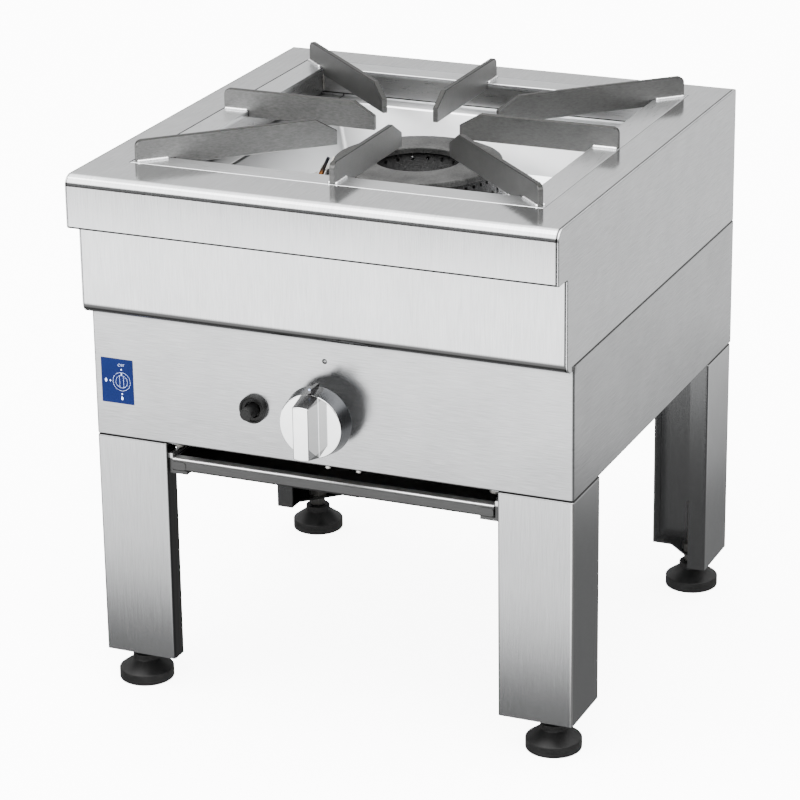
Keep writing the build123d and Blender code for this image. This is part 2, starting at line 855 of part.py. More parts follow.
# Injector: brass jet screwed into the holder's nose
with BuildPart() as injector:
    with BuildSketch(facing_front(0, holder_nose_y, tube_z)):
        RegularPolygon(injector_across / 2, 6, major_radius=False)
    extrude(amount=-injector_hex)
    with BuildSketch(facing_front(0, holder_nose_y + injector_hex, tube_z)):
        Circle(injector_tip_r)
    extrude(amount=-injector_tip)
    with BuildSketch(facing_front(0, holder_nose_y, tube_z)):
        Circle(injector_orifice_r)
    extrude(amount=-(injector_hex + injector_tip), mode=Mode.SUBTRACT)
keep(injector, "injector")

# Air shutter: disc on the holder that sets the air gap at the bell mouth
with BuildPart() as air_shutter:
    with BuildSketch(facing_front(0, yoke_y + shutter_hub + fit, tube_z)):
        Circle(shutter_hub_r)
        Circle(holder_r + running_fit, mode=Mode.SUBTRACT)
    extrude(amount=shutter_hub)
    with BuildSketch(facing_front(0, yoke_y + shutter_hub + fit, tube_z)):
        Circle(shutter_r - yoke_bar)
        Circle(holder_r + running_fit, mode=Mode.SUBTRACT)
    extrude(amount=shutter_plate)
keep(air_shutter, "air_shutter")

# Gas valve: body block with the stepped bore for spindle and push rod
rod_bore_y = valve_front_y + valve_bore
with BuildPart() as gas_valve_body:
    with BuildSketch(facing_front(control_x, valve_back_y, knob_z)):
        Rectangle(valve_size[0], valve_size[2])
    extrude(amount=valve_size[1])
    chamfer(gas_valve_body.edges().filter_by(Axis.Y), length=valve_setback)
    with BuildSketch(facing_front(control_x, valve_back_y, knob_z)):
        Circle(magnet_r)
    extrude(amount=-magnet_length)
    with BuildSketch(facing_front(control_x, valve_front_y, knob_z)):
        Circle(spindle_r + running_fit)
    extrude(amount=-valve_bore, mode=Mode.SUBTRACT)
    with BuildSketch(facing_front(control_x, rod_bore_y, knob_z)):
        Circle(push_rod_r + running_fit)
    extrude(amount=-(push_rod + push_travel), mode=Mode.SUBTRACT)
keep(gas_valve_body, "gas_valve_body")

# Push rod: moves in with the knob and does not turn
push_head_y = spindle_end_y + fit
push_tip_y = rod_bore_y + push_rod - fit
with BuildPart() as valve_push_rod:
    with BuildSketch(facing_front(control_x, push_head_y, knob_z)):
        Circle(spindle_r - running_fit)
    extrude(amount=-push_head)
    with BuildSketch(facing_front(control_x, push_head_y, knob_z)):
        Circle(push_rod_r)
    extrude(amount=push_head_y - push_tip_y)
keep(valve_push_rod, "valve_push_rod")

# Valve spring: plain sleeve in the space of the coil behind the push rod's head
with BuildPart() as valve_spring:
    with BuildSketch(facing_front(control_x, rod_bore_y - fit, knob_z)):
        Circle(push_rod_r + fit + spring_wall)
        Circle(push_rod_r + fit, mode=Mode.SUBTRACT)
    extrude(amount=rod_bore_y - push_head_y - push_head - 2 * fit)
keep(valve_spring, "valve_spring")

# Valve spindle: turns with the knob
spindle_front_y = knob_face_y + knob_wall + fit
with BuildPart() as valve_spindle:
    with BuildSketch(facing_front(control_x, spindle_end_y, knob_z)):
        Circle(spindle_r)
    extrude(amount=spindle_end_y - spindle_front_y)
keep(valve_spindle, "valve_spindle")

# Knob grip: tapered bar whose ends lie on a cone that starts at the rim of the face
grip_root_y = knob_face_y + knob_wall / 2
grip_front_y = knob_face_y - knob_grip
with BuildPart() as grip:
    for level_y, width in ((grip_root_y, grip_base_width), (grip_front_y, grip_front_width)):
        with BuildSketch(facing_front(control_x, level_y, knob_z)):
            Rectangle(width, 2 * knob_back_r)
    loft()
    with BuildSketch(along_y(control_x, knob_z)):
        with BuildLine():
            Polyline(
                (0, grip_root_y),
                (knob_front_r, grip_root_y),
                (grip_front_r, grip_front_y),
                (0, grip_front_y),
                close=True,
            )
        make_face()
    revolve(axis=y_axis(control_x, knob_z), mode=Mode.INTERSECT)
    fillet(grip.faces().sort_by(Axis.Y)[0].edges(), radius=grip_edge_r)

# Control knob: hollow skirt with a boss behind and the grip in front
with BuildPart() as control_knob:
    with BuildSketch(along_y(control_x, knob_z)):
        with BuildLine():
            Polyline(
                (0, knob_face_y),
                (knob_front_r, knob_face_y),
                (knob_back_r, knob_back_y),
                (knob_back_r - knob_wall, knob_back_y),
                (knob_front_r - knob_wall, knob_face_y + knob_wall),
                (knob_boss_r, knob_face_y + knob_wall),
                (knob_boss_r, knob_back_y),
                (0, knob_back_y),
                close=True,
            )
        make_face()
    revolve(axis=y_axis(control_x, knob_z))
    knob_rims = control_knob.edges().filter_by(GeomType.CIRCLE).sort_by(SortBy.RADIUS)
    fillet([rim for rim in knob_rims if rim.radius > knob_front_r - fit], radius=knob_edge_r)
    add(grip.part)
    with BuildSketch(facing_front(control_x, knob_back_y, knob_z)):
        with Locations((0, knob_back_r - knob_wall / 2 + pointer_rise / 2)):
            Rectangle(pointer_width, knob_wall + pointer_rise)
    extrude(amount=knob_skirt)
    with BuildSketch(facing_front(control_x, knob_back_y, knob_z)):
        Circle(spindle_r + running_fit)
    extrude(amount=knob_skirt - knob_wall, mode=Mode.SUBTRACT)
    with BuildSketch(Plane.XY.offset(knob_z)):
        with Locations((control_x, knob_back_y - grub_setback)):
            Circle(grub_r + running_fit)
    extrude(amount=-(knob_boss_r + fit), mode=Mode.SUBTRACT)
keep(control_knob, "control_knob")

# Knob screw: grub screw in the boss, tight on the spindle
with BuildPart() as knob_screw:
    with BuildSketch(Plane.XY.offset(knob_z - spindle_r - fit)):
        with Locations((control_x, knob_back_y - grub_setback)):
            Circle(grub_r)
    extrude(amount=spindle_r + fit - knob_boss_r)
keep(knob_screw, "knob_screw")

# Valve bracket: shelf under the valve, foot on the casing flange
shelf_front_y = panel_y + sheet + valve_foot
with BuildPart() as valve_bracket:
    bracket_x = sum(screw_x) / len(screw_x)
    with BuildSketch(Plane.YZ.offset(bracket_x - valve_size[0] / 2)):
        with BuildLine():
            FilletPolyline(
                (panel_back_y + fit, panel_z + sheet),
                (shelf_front_y, panel_z + sheet),
                (shelf_front_y, valve_bottom_z - valve_shelf),
                (valve_back_y, valve_bottom_z - valve_shelf),
                radius=bend_r,
            )
            offset(amount=valve_shelf, side=Side.LEFT)
        make_face()
    extrude(amount=valve_size[0])
    with BuildSketch(Plane.XY.offset(panel_z + sheet)):
        with Locations(*valve_screw_places):
            Circle(screw_r + screw_gap)
    extrude(amount=valve_shelf, mode=Mode.SUBTRACT)
keep(valve_bracket, "valve_bracket")

# Igniter body: tube behind the panel with a terminal at its end
igniter_end_y = panel_y + igniter_length
with BuildPart() as igniter_body:
    with BuildSketch(facing_front(igniter_x, igniter_end_y, igniter_z)):
        Circle(igniter_r)
    extrude(amount=igniter_length)
    with BuildSketch(facing_front(igniter_x, igniter_end_y, igniter_z)):
        Circle(terminal_r)
    extrude(amount=-terminal_length)
    with BuildSketch(facing_front(igniter_x, panel_y, igniter_z)):
        Circle(button_r + running_fit)
    extrude(amount=-igniter_bore, mode=Mode.SUBTRACT)
keep(igniter_body, "igniter_body")

# Igniter bezel: dished black ring in front of the panel
with BuildPart() as igniter_bezel:
    with BuildSketch(facing_front(igniter_x, panel_y, igniter_z)):
        Circle(bezel_r)
        Circle(bezel_hole_r, mode=Mode.SUBTRACT)
    extrude(amount=bezel_depth)
    with BuildSketch(facing_front(igniter_x, panel_y - bezel_depth + bezel_recess, igniter_z)):
        Circle(bezel_recess_r)
    extrude(amount=bezel_recess, mode=Mode.SUBTRACT)
    fillet(igniter_bezel.faces().sort_by(Axis.Y)[0].edges(), radius=bezel_recess / 2)
keep(igniter_bezel, "igniter_bezel")

# Igniter nut: clamps the igniter from behind the panel
with BuildPart() as igniter_nut_ring:
    with BuildSketch(facing_front(igniter_x, panel_back_y + igniter_nut, igniter_z)):
        RegularPolygon(igniter_nut_across / 2, 6, major_radius=False)
        Circle(igniter_r + running_fit, mode=Mode.SUBTRACT)
    extrude(amount=igniter_nut)
keep(igniter_nut_ring, "igniter_nut")

# Igniter button: push stem that slides in the body
button_end_y = panel_y + button_seat
with BuildPart() as igniter_button:
    with BuildSketch(facing_front(igniter_x, button_end_y, igniter_z)):
        Circle(button_r)
    extrude(amount=button_seat + button_stand)
    fillet(igniter_button.faces().sort_by(Axis.Y)[0].edges(), radius=button_r / 4)
keep(igniter_button, "igniter_button")

# Igniter spring: plain sleeve in the space of the coil behind the button
with BuildPart() as igniter_spring:
    with BuildSketch(facing_front(igniter_x, panel_y + igniter_bore - fit, igniter_z)):
        Circle(button_r - fit)
        Circle(button_r - fit - spring_wall, mode=Mode.SUBTRACT)
    extrude(amount=igniter_bore - button_seat - 2 * fit)
keep(igniter_spring, "igniter_spring")

# Burner feed pipe: straight up from the valve to the injector holder
holder_bottom_z = tube_z - holder_block / 2
with BuildPart() as burner_feed_pipe:
    with BuildSketch(Plane.XY.offset(valve_top_z)):
        with Locations((0, feed_y)):
            Circle(feed_r)
    extrude(amount=holder_bottom_z - valve_top_z)
keep(burner_feed_pipe, "burner_feed_pipe")

# Gas inlet: threaded stub through the lower back panel
inlet_end_y = back_y + inlet_shoulder + inlet_thread
inlet_start_y = back_y - inlet_inside
with BuildPart() as gas_inlet:
    with BuildSketch(along_y(inlet_x, supply_z)):
        with BuildLine():
            Polyline(
                (inlet_bore_r, inlet_end_y),
                (inlet_thread_r, inlet_end_y),
                (inlet_thread_r, back_y + inlet_shoulder),
                (inlet_shoulder_r, back_y + inlet_shoulder),
                (inlet_shoulder_r, back_y),
                (inlet_thread_r, back_y),
                (inlet_thread_r, inlet_start_y),
                (supply_r + running_fit, inlet_start_y),
                (supply_r + running_fit, inlet_start_y + inlet_socket),
                (inlet_bore_r, inlet_start_y + inlet_socket),
                close=True,
            )
        make_face()
    revolve(axis=y_axis(inlet_x, supply_z))
keep(gas_inlet, "gas_inlet")

# Supply pipe: from the inlet forwards and across to the valve's side
valve_right_x = control_x + valve_size[0] / 2
with BuildPart() as supply_pipe:
    with BuildLine() as supply_path:
        FilletPolyline(
            (valve_right_x, supply_y, supply_z),
            (inlet_x, supply_y, supply_z),
            (inlet_x, inlet_start_y + inlet_socket - fit, supply_z),
            radius=supply_bend_r,
        )
    with BuildSketch(Plane(origin=(valve_right_x, supply_y, supply_z), z_dir=(1, 0, 0))):
        Circle(supply_r)
    sweep()
keep(supply_pipe, "supply_pipe")

# Pipe nuts: hexagon nuts at the valve, at the holder and inside the back panel
valve_left_x = control_x - valve_size[0] / 2
pilot_port_z = knob_z + supply_drop
nut_seats = (
    (Plane.XY.offset(valve_top_z), (0, feed_y), feed_nut_across, feed_r, nut_length),
    (Plane.XY.offset(holder_bottom_z), (0, feed_y), feed_nut_across, feed_r, -nut_length),
    (Plane.YZ.offset(valve_right_x), (supply_y, supply_z), supply_nut_across, supply_r, nut_length),
    (Plane.YZ.offset(valve_left_x), (supply_y, pilot_port_z), pilot_nut_across, pilot_tube_r, -nut_length),
    (facing_front(0, back_y - sheet, 0), (inlet_x, supply_z), inlet_nut_across, inlet_thread_r, inlet_nut),
)
with BuildPart() as pipe_nuts:
    for seat, centre, across, bore, length in nut_seats:
        with BuildSketch(seat):
            with Locations(centre):
                RegularPolygon(across / 2, 6, major_radius=False)
                Circle(bore + running_fit, mode=Mode.SUBTRACT)
        extrude(amount=length)
keep(pipe_nuts, "pipe_nuts")

# Pilot bracket: foot on the spill pan floor, upright and leaning shelf
shelf_half = pilot_shelf_length / 2
shelf_width = 2 * (pilot_spacing + pilot_shelf_margin)
shelf_y = rod_rows["pilot_burner"]
shelf_top_x = pilot_x - shelf_half * cos(lean)
shelf_top_z = pilot_shelf_z + shelf_half * sin(lean)
with BuildPart() as pilot_bracket:
    with BuildSketch(Plane.XZ.offset(-(shelf_y + shelf_width / 2))):
        with BuildLine():
            FilletPolyline(
                (shelf_top_x - pilot_foot, basin_floor_z),
                (shelf_top_x, basin_floor_z),
                (shelf_top_x, shelf_top_z),
                (pilot_x + shelf_half * cos(lean), pilot_shelf_z - shelf_half * sin(lean)),
                radius=pilot_bend_r,
            )
            offset(amount=pilot_sheet, side=Side.LEFT)
        make_face()
    extrude(amount=shelf_width)
    for row_y in rod_rows.values():
        with BuildSketch(rod_plane(row_y, -pilot_sheet)):
            Circle(pilot_collar_r + running_fit)
        extrude(amount=3 * pilot_sheet, mode=Mode.SUBTRACT)
keep(pilot_bracket, "pilot_bracket")

# Leads and pilot tube: routes from the pilot group down to the valve and the igniter
thermo_route = [
    rod_point(rod_rows["thermocouple"], -pilot_collar),
    rod_point(rod_rows["thermocouple"], -pilot_collar - 2 * pilot_tail),
    (-112, -26, 378),
    (-100, -50, 335),
    (-60, -62, 305),
    (control_x, -76, knob_z),
    (control_x, valve_back_y + magnet_length, knob_z),
]
pilot_route = [
    rod_point(rod_rows["pilot_burner"], -pilot_collar),
    rod_point(rod_rows["pilot_burner"], -pilot_collar - 2 * pilot_tail),
    (-124, -24, 378),
    (-122, -60, 335),
    (-95, -115, 312),
    (-58, supply_y, pilot_port_z),
    (valve_left_x, supply_y, pilot_port_z),
]
ignition_route = [
    rod_point(rod_rows["spark_electrode"], -pilot_collar),
    rod_point(rod_rows["spark_electrode"], -pilot_collar - 2 * pilot_tail),
    (-138, -20, 378),
    (-142, -60, 330),
    (-112, -100, 298),
    (igniter_x, -112, igniter_z),
    (igniter_x, igniter_end_y + terminal_length, igniter_z),
]
lead_bend_share = 0.45


def bend_radii(route):
    """Largest even bend at each inner point: a share of its shorter run over the half turn's tangent."""
    radii = []
    for before, here, after in zip(route, route[1:], route[2:]):
        run_in = Vector(*here) - Vector(*before)
        run_out = Vector(*after) - Vector(*here)
        half_turn = radians(run_in.get_angle(run_out)) / 2
        radii.append(lead_bend_share * min(run_in.length, run_out.length) / tan(half_turn))
    return radii


# Pilot rods: each a collar in the shelf and two lengths above it, listed as length and radius
rod_stages = {
    "thermocouple": ((thermo_sleeve, thermo_r), (thermo_tip, thermo_tip_r)),
    "pilot_burner": ((pilot_stem, pilot_r), (pilot_hood, pilot_hood_r)),
    "spark_electrode": ((electrode_rise, electrode_r), (electrode_wire, electrode_wire_r)),
}
rod_leads = {
    "thermocouple": ("thermocouple_lead", thermo_route, thermo_lead_r),
    "pilot_burner": ("pilot_tube", pilot_route, pilot_tube_r),
    "spark_electrode": ("ignition_lead", ignition_route, ignition_lead_r),
}
for rod_name, stages in rod_stages.items():
    with BuildPart() as rod:
        start = -pilot_collar
        for length, radius in ((2 * pilot_collar, pilot_collar_r), *stages):
            with BuildSketch(rod_plane(rod_rows[rod_name], start)):
                Circle(radius)
            extrude(amount=length)
            start += length
    keep(rod, rod_name)
    lead_name, route, lead_r = rod_leads[rod_name]
    radii = bend_radii(route)
    print(lead_name, "bend radii", [round(radius, 1) for radius in radii])
    with BuildPart() as lead:
        with BuildLine():
            lead_line = FilletPolyline(*route, radius=radii)
        with BuildSketch(Plane(origin=lead_line @ 0, z_dir=lead_line % 0)):
            Circle(lead_r)
        sweep()
    keep(lead, lead_name)

# Legs: lipped angles with a tabbed top plate and a foot plate
for leg_name, (side, end) in leg_places.items():
    with BuildPart() as leg:
        middle = leg_point(side, end, leg_width / 2, leg_depth / 2)
        with BuildSketch(Plane.XY.offset(leg_z)):
            with Locations(middle):
                RectangleRounded(leg_width, leg_depth, bend_r)
                RectangleRounded(
                    leg_width - 2 * leg_sheet,
                    leg_depth - 2 * leg_sheet,
                    bend_r - leg_sheet,
                    mode=Mode.SUBTRACT,
                )
            with Locations(leg_point(side, end, (leg_lip + leg_width) / 2, (leg_lip + leg_depth) / 2)):
                Rectangle(leg_width - leg_lip, leg_depth - leg_lip, mode=Mode.SUBTRACT)
        extrude(amount=leg_height)
        with BuildSketch(Plane.XY.offset(panel_z)):
            with Locations(middle):
                RectangleRounded(leg_width, leg_depth, bend_r)
            with Locations(leg_point(side, end, leg_width, leg_tab_setback + leg_tab_depth / 2)):
                RectangleRounded(2 * leg_tab, leg_tab_depth, leg_tab_r)
            with Locations(*leg_bolt_places):
                Circle(bolt_r + bolt_gap, mode=Mode.SUBTRACT)
        extrude(amount=-leg_sheet)
        corner_x, corner_y = leg_corner(side, end)
        top_folds = leg.faces().sort_by(Axis.Z)[-1].edges().filter_by(
            lambda e: abs(e.center().X - corner_x) < bend_r or abs(e.center().Y - corner_y) < bend_r
        )
        fillet(top_folds, radius=edge_r - fit)
        with BuildSketch(Plane.XY.offset(leg_z)):
            with BuildLine():
                Polyline(
                    leg_point(side, end, leg_sheet / 2, leg_sheet / 2),
                    leg_point(side, end, leg_width - leg_sheet / 2, leg_sheet / 2),
                    leg_point(side, end, leg_width - leg_sheet / 2, leg_lip),
                    leg_point(side, end, foot_plate_reach, leg_lip),
                    leg_point(side, end, leg_lip, foot_plate_reach),
                    leg_point(side, end, leg_lip, leg_depth - leg_sheet / 2),
                    leg_point(side, end, leg_sheet / 2, leg_depth - leg_sheet / 2),
                    close=True,
                )
            make_face()
            with Locations(leg_point(side, end, foot_inset_x, foot_inset_y)):
                Circle(stud_r + stud_hole_gap, mode=Mode.SUBTRACT)
        extrude(amount=leg_sheet)
        with BuildSketch(Plane.YZ.offset(side * (half_width - leg_width))):
            with Locations((corner_y - end * leg_lip / 2, runner_screw_z)):
                Circle(runner_screw_r + screw_gap)
        extrude(amount=side * leg_sheet, mode=Mode.SUBTRACT)
    keep(leg, f"leg_{leg_name}")

# Fasteners: heads below, shanks through two sheets, hexagon nuts above
small_screw = (screw_head_r, screw_head, screw_r, screw_head, 2 * screw_head_r)
large_bolt = (bolt_head_across / 2, bolt_head, bolt_r, bolt_nut, bolt_head_across)
fastener_sets = (
    ("casing_screws", small_screw, (
        (valve_screw_places, panel_z, sheet + valve_shelf),
        (bracket_screw_places, band_z - sheet, sheet + bracket_sheet),
    )),
    ("casing_bolts", large_bolt, (
        (leg_bolt_places, panel_z - leg_sheet, leg_sheet + sheet),
        (hob_bolt_places, band_z - sheet, 2 * sheet),
    )),
)
for set_name, (head_r, head, shank_r, nut, across), groups in fastener_sets:
    with BuildPart() as fasteners:
        for places, seat_z, grip in groups:
            with BuildSketch(Plane.XY.offset(seat_z - head)):
                with Locations(*places):
                    Circle(head_r)
            extrude(amount=head)
            rims = fasteners.edges().filter_by_position(Axis.Z, seat_z - head - fit, seat_z - head + fit)
            fillet(rims, radius=head / 3)
            with BuildSketch(Plane.XY.offset(seat_z)):
                with Locations(*places):
                    Circle(shank_r)
            extrude(amount=grip)
            with BuildSketch(Plane.XY.offset(seat_z + grip)):
                with Locations(*places):
                    RegularPolygon(across / 2, 6, major_radius=False)
            extrude(amount=nut)
    keep(fasteners, set_name)

# Foot nuts: welded on the foot plates inside the legs
foot_places = {name: leg_point(*place, foot_inset_x, foot_inset_y) for name, place in leg_places.items()}
with BuildPart() as foot_nuts:
    with BuildSketch(Plane.XY.offset(leg_z + leg_sheet)):
        with Locations(*foot_places.values()):
            RegularPolygon(foot_nut_across / 2, 6, major_radius=False)
            Circle(stud_r + running_fit, mode=Mode.SUBTRACT)
    extrude(amount=foot_nut)
keep(foot_nuts, "foot_nuts")

# Levelling feet: a pad that rests on the floor and a threaded spindle that turns in it
hex_z = pad_height + fit
for foot_name, (foot_x, foot_y) in foot_places.items():
    with BuildPart() as foot_pad:
        with BuildSketch(Plane(origin=(foot_x, foot_y, 0), x_dir=(1, 0, 0), z_dir=(0, -1, 0))):
            with BuildLine():
                pad_edge = FilletPolyline(
                    (0, 0),
                    (pad_r, 0),
                    (pad_r, pad_rim),
                    (pad_neck_r, pad_rim + pad_cone),
                    (pad_neck_r, pad_height),
                    (stud_r + running_fit, pad_height),
                    radius=pad_edge_r,
                )
                Polyline(
                    pad_edge @ 1,
                    (stud_r + running_fit, pad_height - stud_socket),
                    (0, pad_height - stud_socket),
                    pad_edge @ 0,
                )
            make_face()
        revolve(axis=Axis((foot_x, foot_y, 0), (0, 0, 1)))
    keep(foot_pad, f"foot_pad_{foot_name}")
    with BuildPart() as foot_spindle:
        stud_z = pad_height - stud_socket + fit
        with BuildSketch(Plane.XY.offset(stud_z)):
            with Locations((foot_x, foot_y)):
                Circle(stud_r)
        extrude(amount=stud_length)
        chamfer(foot_spindle.faces().sort_by(Axis.Z)[-1].edges(), length=stud_r / 5)
        with BuildSketch(Plane.XY.offset(hex_z)):
            with Locations((foot_x, foot_y)):
                RegularPolygon(hex_across / 2, 6, major_radius=False)
        extrude(amount=hex_length)
    keep(foot_spindle, f"foot_spindle_{foot_name}")

# Tray runners: angles between the front and back legs
runner_front_y = panel_y + runner_end_gap
runner_back_y = back_y - runner_end_gap
for side_name, side in (("left", -1), ("right", 1)):
    with BuildPart() as runner:
        with BuildSketch(Plane.XZ.offset(-runner_back_y)):
            with Locations((side * (runner_x - runner_sheet / 2), runner_z + runner_web / 2)):
                Rectangle(runner_sheet, runner_web)
            with Locations((side * (runner_x - runner_foot / 2), runner_z + runner_sheet / 2)):
                Rectangle(runner_foot, runner_sheet)
        extrude(amount=runner_back_y - runner_front_y)
        with BuildSketch(Plane.YZ.offset(side * runner_x)):
            for end_y in runner_screw_rows:
                with Locations((end_y, runner_screw_z)):
                    Circle(runner_screw_r + running_fit)
        extrude(amount=-side * runner_sheet, mode=Mode.SUBTRACT)
    keep(runner, f"tray_runner_{side_name}")

# Drip tray: shallow sheet tray with a rolled front lip
tray_half = runner_x - runner_sheet - tray_gap
tray_z = runner_z + runner_sheet + fit
tray_top_z = tray_z + tray_height
tray_front_y = panel_y + tray_setback
tray_back_y = back_y - tray_back_gap
with BuildPart() as drip_tray:
    with BuildSketch(Plane.YZ.offset(-tray_half)):
        with BuildLine():
            FilletPolyline(
                (tray_front_y + tray_return, tray_top_z),
                (tray_front_y, tray_top_z),
                (tray_front_y, tray_z),
                (tray_back_y, tray_z),
                (tray_back_y, tray_top_z),
                radius=[tray_lip_r, bend_r, bend_r],
            )
            offset(amount=tray_sheet, side=Side.LEFT)
        make_face()
    extrude(amount=2 * tray_half)
    with BuildSketch(Plane.XY.offset(tray_z)):
        for side in (-1, 1):
            with Locations((side * (tray_half - tray_sheet / 2), (tray_front_y + tray_back_y) / 2)):
                Rectangle(tray_sheet, tray_back_y - tray_front_y - 2 * bend_r)
    extrude(amount=tray_height - tray_sheet)
    flap_height = tray_height - tray_lip_r - tray_flap_rise
    with BuildSketch(facing_front(0, tray_front_y, tray_z + tray_flap_rise + flap_height / 2)):
        for side in (-1, 1):
            with Locations((side * (tray_half - tray_flap / 2), 0)):
                RectangleRounded(tray_flap, flap_height, tray_flap_r)
    extrude(amount=tray_flap_sheet)
keep(drip_tray, "drip_tray")

# Runner screws: heads inside the legs, tails tapped into the runners
with BuildPart() as runner_screws:
    for side in (-1, 1):
        for end_y in runner_screw_rows:
            with BuildSketch(Plane.YZ.offset(side * (half_width - leg_width + leg_sheet))):
                with Locations((end_y, runner_screw_z)):
                    Circle(runner_screw_head_r)
            extrude(amount=side * runner_screw_head)
            with BuildSketch(Plane.YZ.offset(side * (half_width - leg_width + leg_sheet))):
                with Locations((end_y, runner_screw_z)):
                    Circle(runner_screw_r)
            extrude(amount=-side * (leg_sheet + fit + runner_sheet))
keep(runner_screws, "runner_screws")
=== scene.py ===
# %% [markdown]
# # A single burner gas stove, dressed for a studio picture
# The model of the stove comes in as a fixed frame: every panel, leg, bar and screw already has its
# shape and place. This lesson sets up the camera and the light, gives each piece a believable finish,
# and adds the small things that a solid model leaves out, such as weld beads, threads and print.

# %% Load the model
from math import cos, hypot, pi, radians, sin, sqrt

import bmesh
import bpy
from mathutils import Matrix, Vector


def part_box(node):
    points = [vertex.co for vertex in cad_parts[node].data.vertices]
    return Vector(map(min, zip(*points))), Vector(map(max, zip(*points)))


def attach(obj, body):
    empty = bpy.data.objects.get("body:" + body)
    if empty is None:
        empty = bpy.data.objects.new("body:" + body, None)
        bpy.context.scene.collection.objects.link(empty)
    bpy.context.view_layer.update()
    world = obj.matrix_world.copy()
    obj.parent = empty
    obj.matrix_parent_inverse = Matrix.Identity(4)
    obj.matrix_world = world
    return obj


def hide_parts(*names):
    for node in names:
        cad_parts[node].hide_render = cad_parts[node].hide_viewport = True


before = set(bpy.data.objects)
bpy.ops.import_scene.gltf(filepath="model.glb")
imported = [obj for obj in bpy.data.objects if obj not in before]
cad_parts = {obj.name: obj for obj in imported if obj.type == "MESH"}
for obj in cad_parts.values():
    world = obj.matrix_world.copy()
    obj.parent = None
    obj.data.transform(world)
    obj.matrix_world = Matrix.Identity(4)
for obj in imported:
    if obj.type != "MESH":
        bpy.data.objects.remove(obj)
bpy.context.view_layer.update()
MM = 0.001
scene = bpy.context.scene

# %% [markdown]
# ## Camera
# The photograph was taken from the front right, a little above the stove, with a long lens. The
# angles below turn a level camera to the left, tip it down and lean it by less than a degree.

# %% Set the camera
SENSOR, LENS, FAR_CLIP = 36, 149.03, 60
CAMERA_PLACE = (1.1094, -2.6118, 1.2979)
yaw, pitch, roll = radians(23.3231), radians(-20.5089), radians(-0.7801)
ahead = Vector((-sin(yaw) * cos(pitch), cos(yaw) * cos(pitch), sin(pitch)))
right = Vector((cos(yaw), sin(yaw), 0))
above = right.cross(ahead)
camera_x = right * cos(roll) + above * sin(roll)
camera_y = above * cos(roll) - right * sin(roll)
camera = bpy.data.objects.new("camera", bpy.data.cameras.new("camera"))
scene.collection.objects.link(camera)
camera.data.sensor_width = SENSOR
camera.data.lens = LENS
camera.data.clip_end = FAR_CLIP
camera_turn = Matrix((camera_x, camera_y, -ahead)).transposed().to_4x4()
camera.matrix_world = Matrix.Translation(CAMERA_PLACE) @ camera_turn
scene.camera = camera
print("camera looks along", [round(v, 3) for v in ahead])

# %% [markdown]
# ## Colours and nodes
# Colours are written as they look on a screen, as hex values, and one function turns them into the
# linear values that the renderer adds up. A second function adds a node: it sets what it is given and
# makes the links, so that a material reads as a list of what goes into what. A third lays a flat colour
# over a finish where a mask is white: a stain, or painted shade or a painted highlight.
# Most masks follow one coordinate, so a mask can be written as that coordinate and the two values
# between which it turns from black to white.


# %% Helpers for materials
def linear(code):
    """Turn an sRGB hex value such as #C8C9CA into linear red, green, blue and an alpha of 1."""
    parts = [int(code[i : i + 2], 16) / 255 for i in (1, 3, 5)]
    return (*[v / 12.92 if v <= 0.04045 else ((v + 0.055) / 1.055) ** 2.4 for v in parts], 1)


def add(tree, kind, settings=None, links=None):
    """Add a node, set its sockets or properties, and link other nodes' outputs into it."""
    node = tree.nodes.new(kind)
    for key, value in (settings or {}).items():
        if key == "stops":
            stops = node.color_ramp.elements
            stops[0].position, stops[1].position = value[0][0], value[-1][0]
            stops[0].color, stops[1].color = linear(value[0][1]), linear(value[-1][1])
            for place, colour in value[1:-1]:
                stops.new(place).color = linear(colour)
        elif isinstance(key, int) or key in node.inputs:
            node.inputs[key].default_value = value
        else:
            setattr(node, key, value)
    for socket, source in (links or {}).items():
        tree.links.new(source, node.inputs[socket])
    return node


def start_material(name, **sockets):
    """Begin a material and set what is the same all over it on the shader itself."""
    material = bpy.data.materials.new(name)
    material.use_nodes = True
    shader = material.node_tree.nodes["Principled BSDF"]
    for key, value in sockets.items():
        shader.inputs[key.replace("_", " ")].default_value = value
    return material, material.node_tree, shader


def object_axes(tree):
    """Object coordinates, whole and split into X, Y and Z."""
    whole = add(tree, "ShaderNodeTexCoord").outputs["Object"]
    return whole, add(tree, "ShaderNodeSeparateXYZ", links={"Vector": whole}).outputs


def lay_stain_or_painted_light(tree, shader, colour, *masks):
    """Lay a flat colour over a finish where every mask is white.

    A mask is a socket, or a socket with its values at black and at white, and the layer's greatest
    strength where that is less than 1.
    """
    strength = None
    for mask in masks:
        if isinstance(mask, tuple):
            source, black, white, *most = mask
            fade = {"From Min": black, "From Max": white, "To Max": most[0] if most else 1.0}
            mask = add(tree, "ShaderNodeMapRange", fade, {"Value": source}).outputs["Result"]
        if strength is not None:
            mask = add(tree, "ShaderNodeMath", {"operation": "MULTIPLY"}, {0: strength, 1: mask}).outputs[0]
        strength = mask
    under = shader.inputs["Base Color"].links[0].from_socket
    layer = add(tree, "ShaderNodeMix", {"data_type": "RGBA", 7: linear(colour)}, {0: strength, 6: under})
    tree.links.new(layer.outputs[2], shader.inputs["Base Color"])


print("dark grey", [round(v, 4) for v in linear("#404040")])

# %% [markdown]
# ## Brushed stainless sheet
# The casing is sheet with a belt-brushed finish: thousands of scratches that all run one way. Each sheet
# has its own grain. The hob is one sheet whose grain runs front to back over the top and down the
# apron, the control panel's runs round the casing, and the legs' runs up and down. A noise that is
# stretched along the grain gives the tone, the roughness and a very shallow bump.


# %% Scratches along a grain
# Handling and the rolling mill leave soft clouds of this size, in millimetres, under the scratches, which
# make up this share of the tone.
CLOUD, CLOUD_SHARE = 35, 0.2


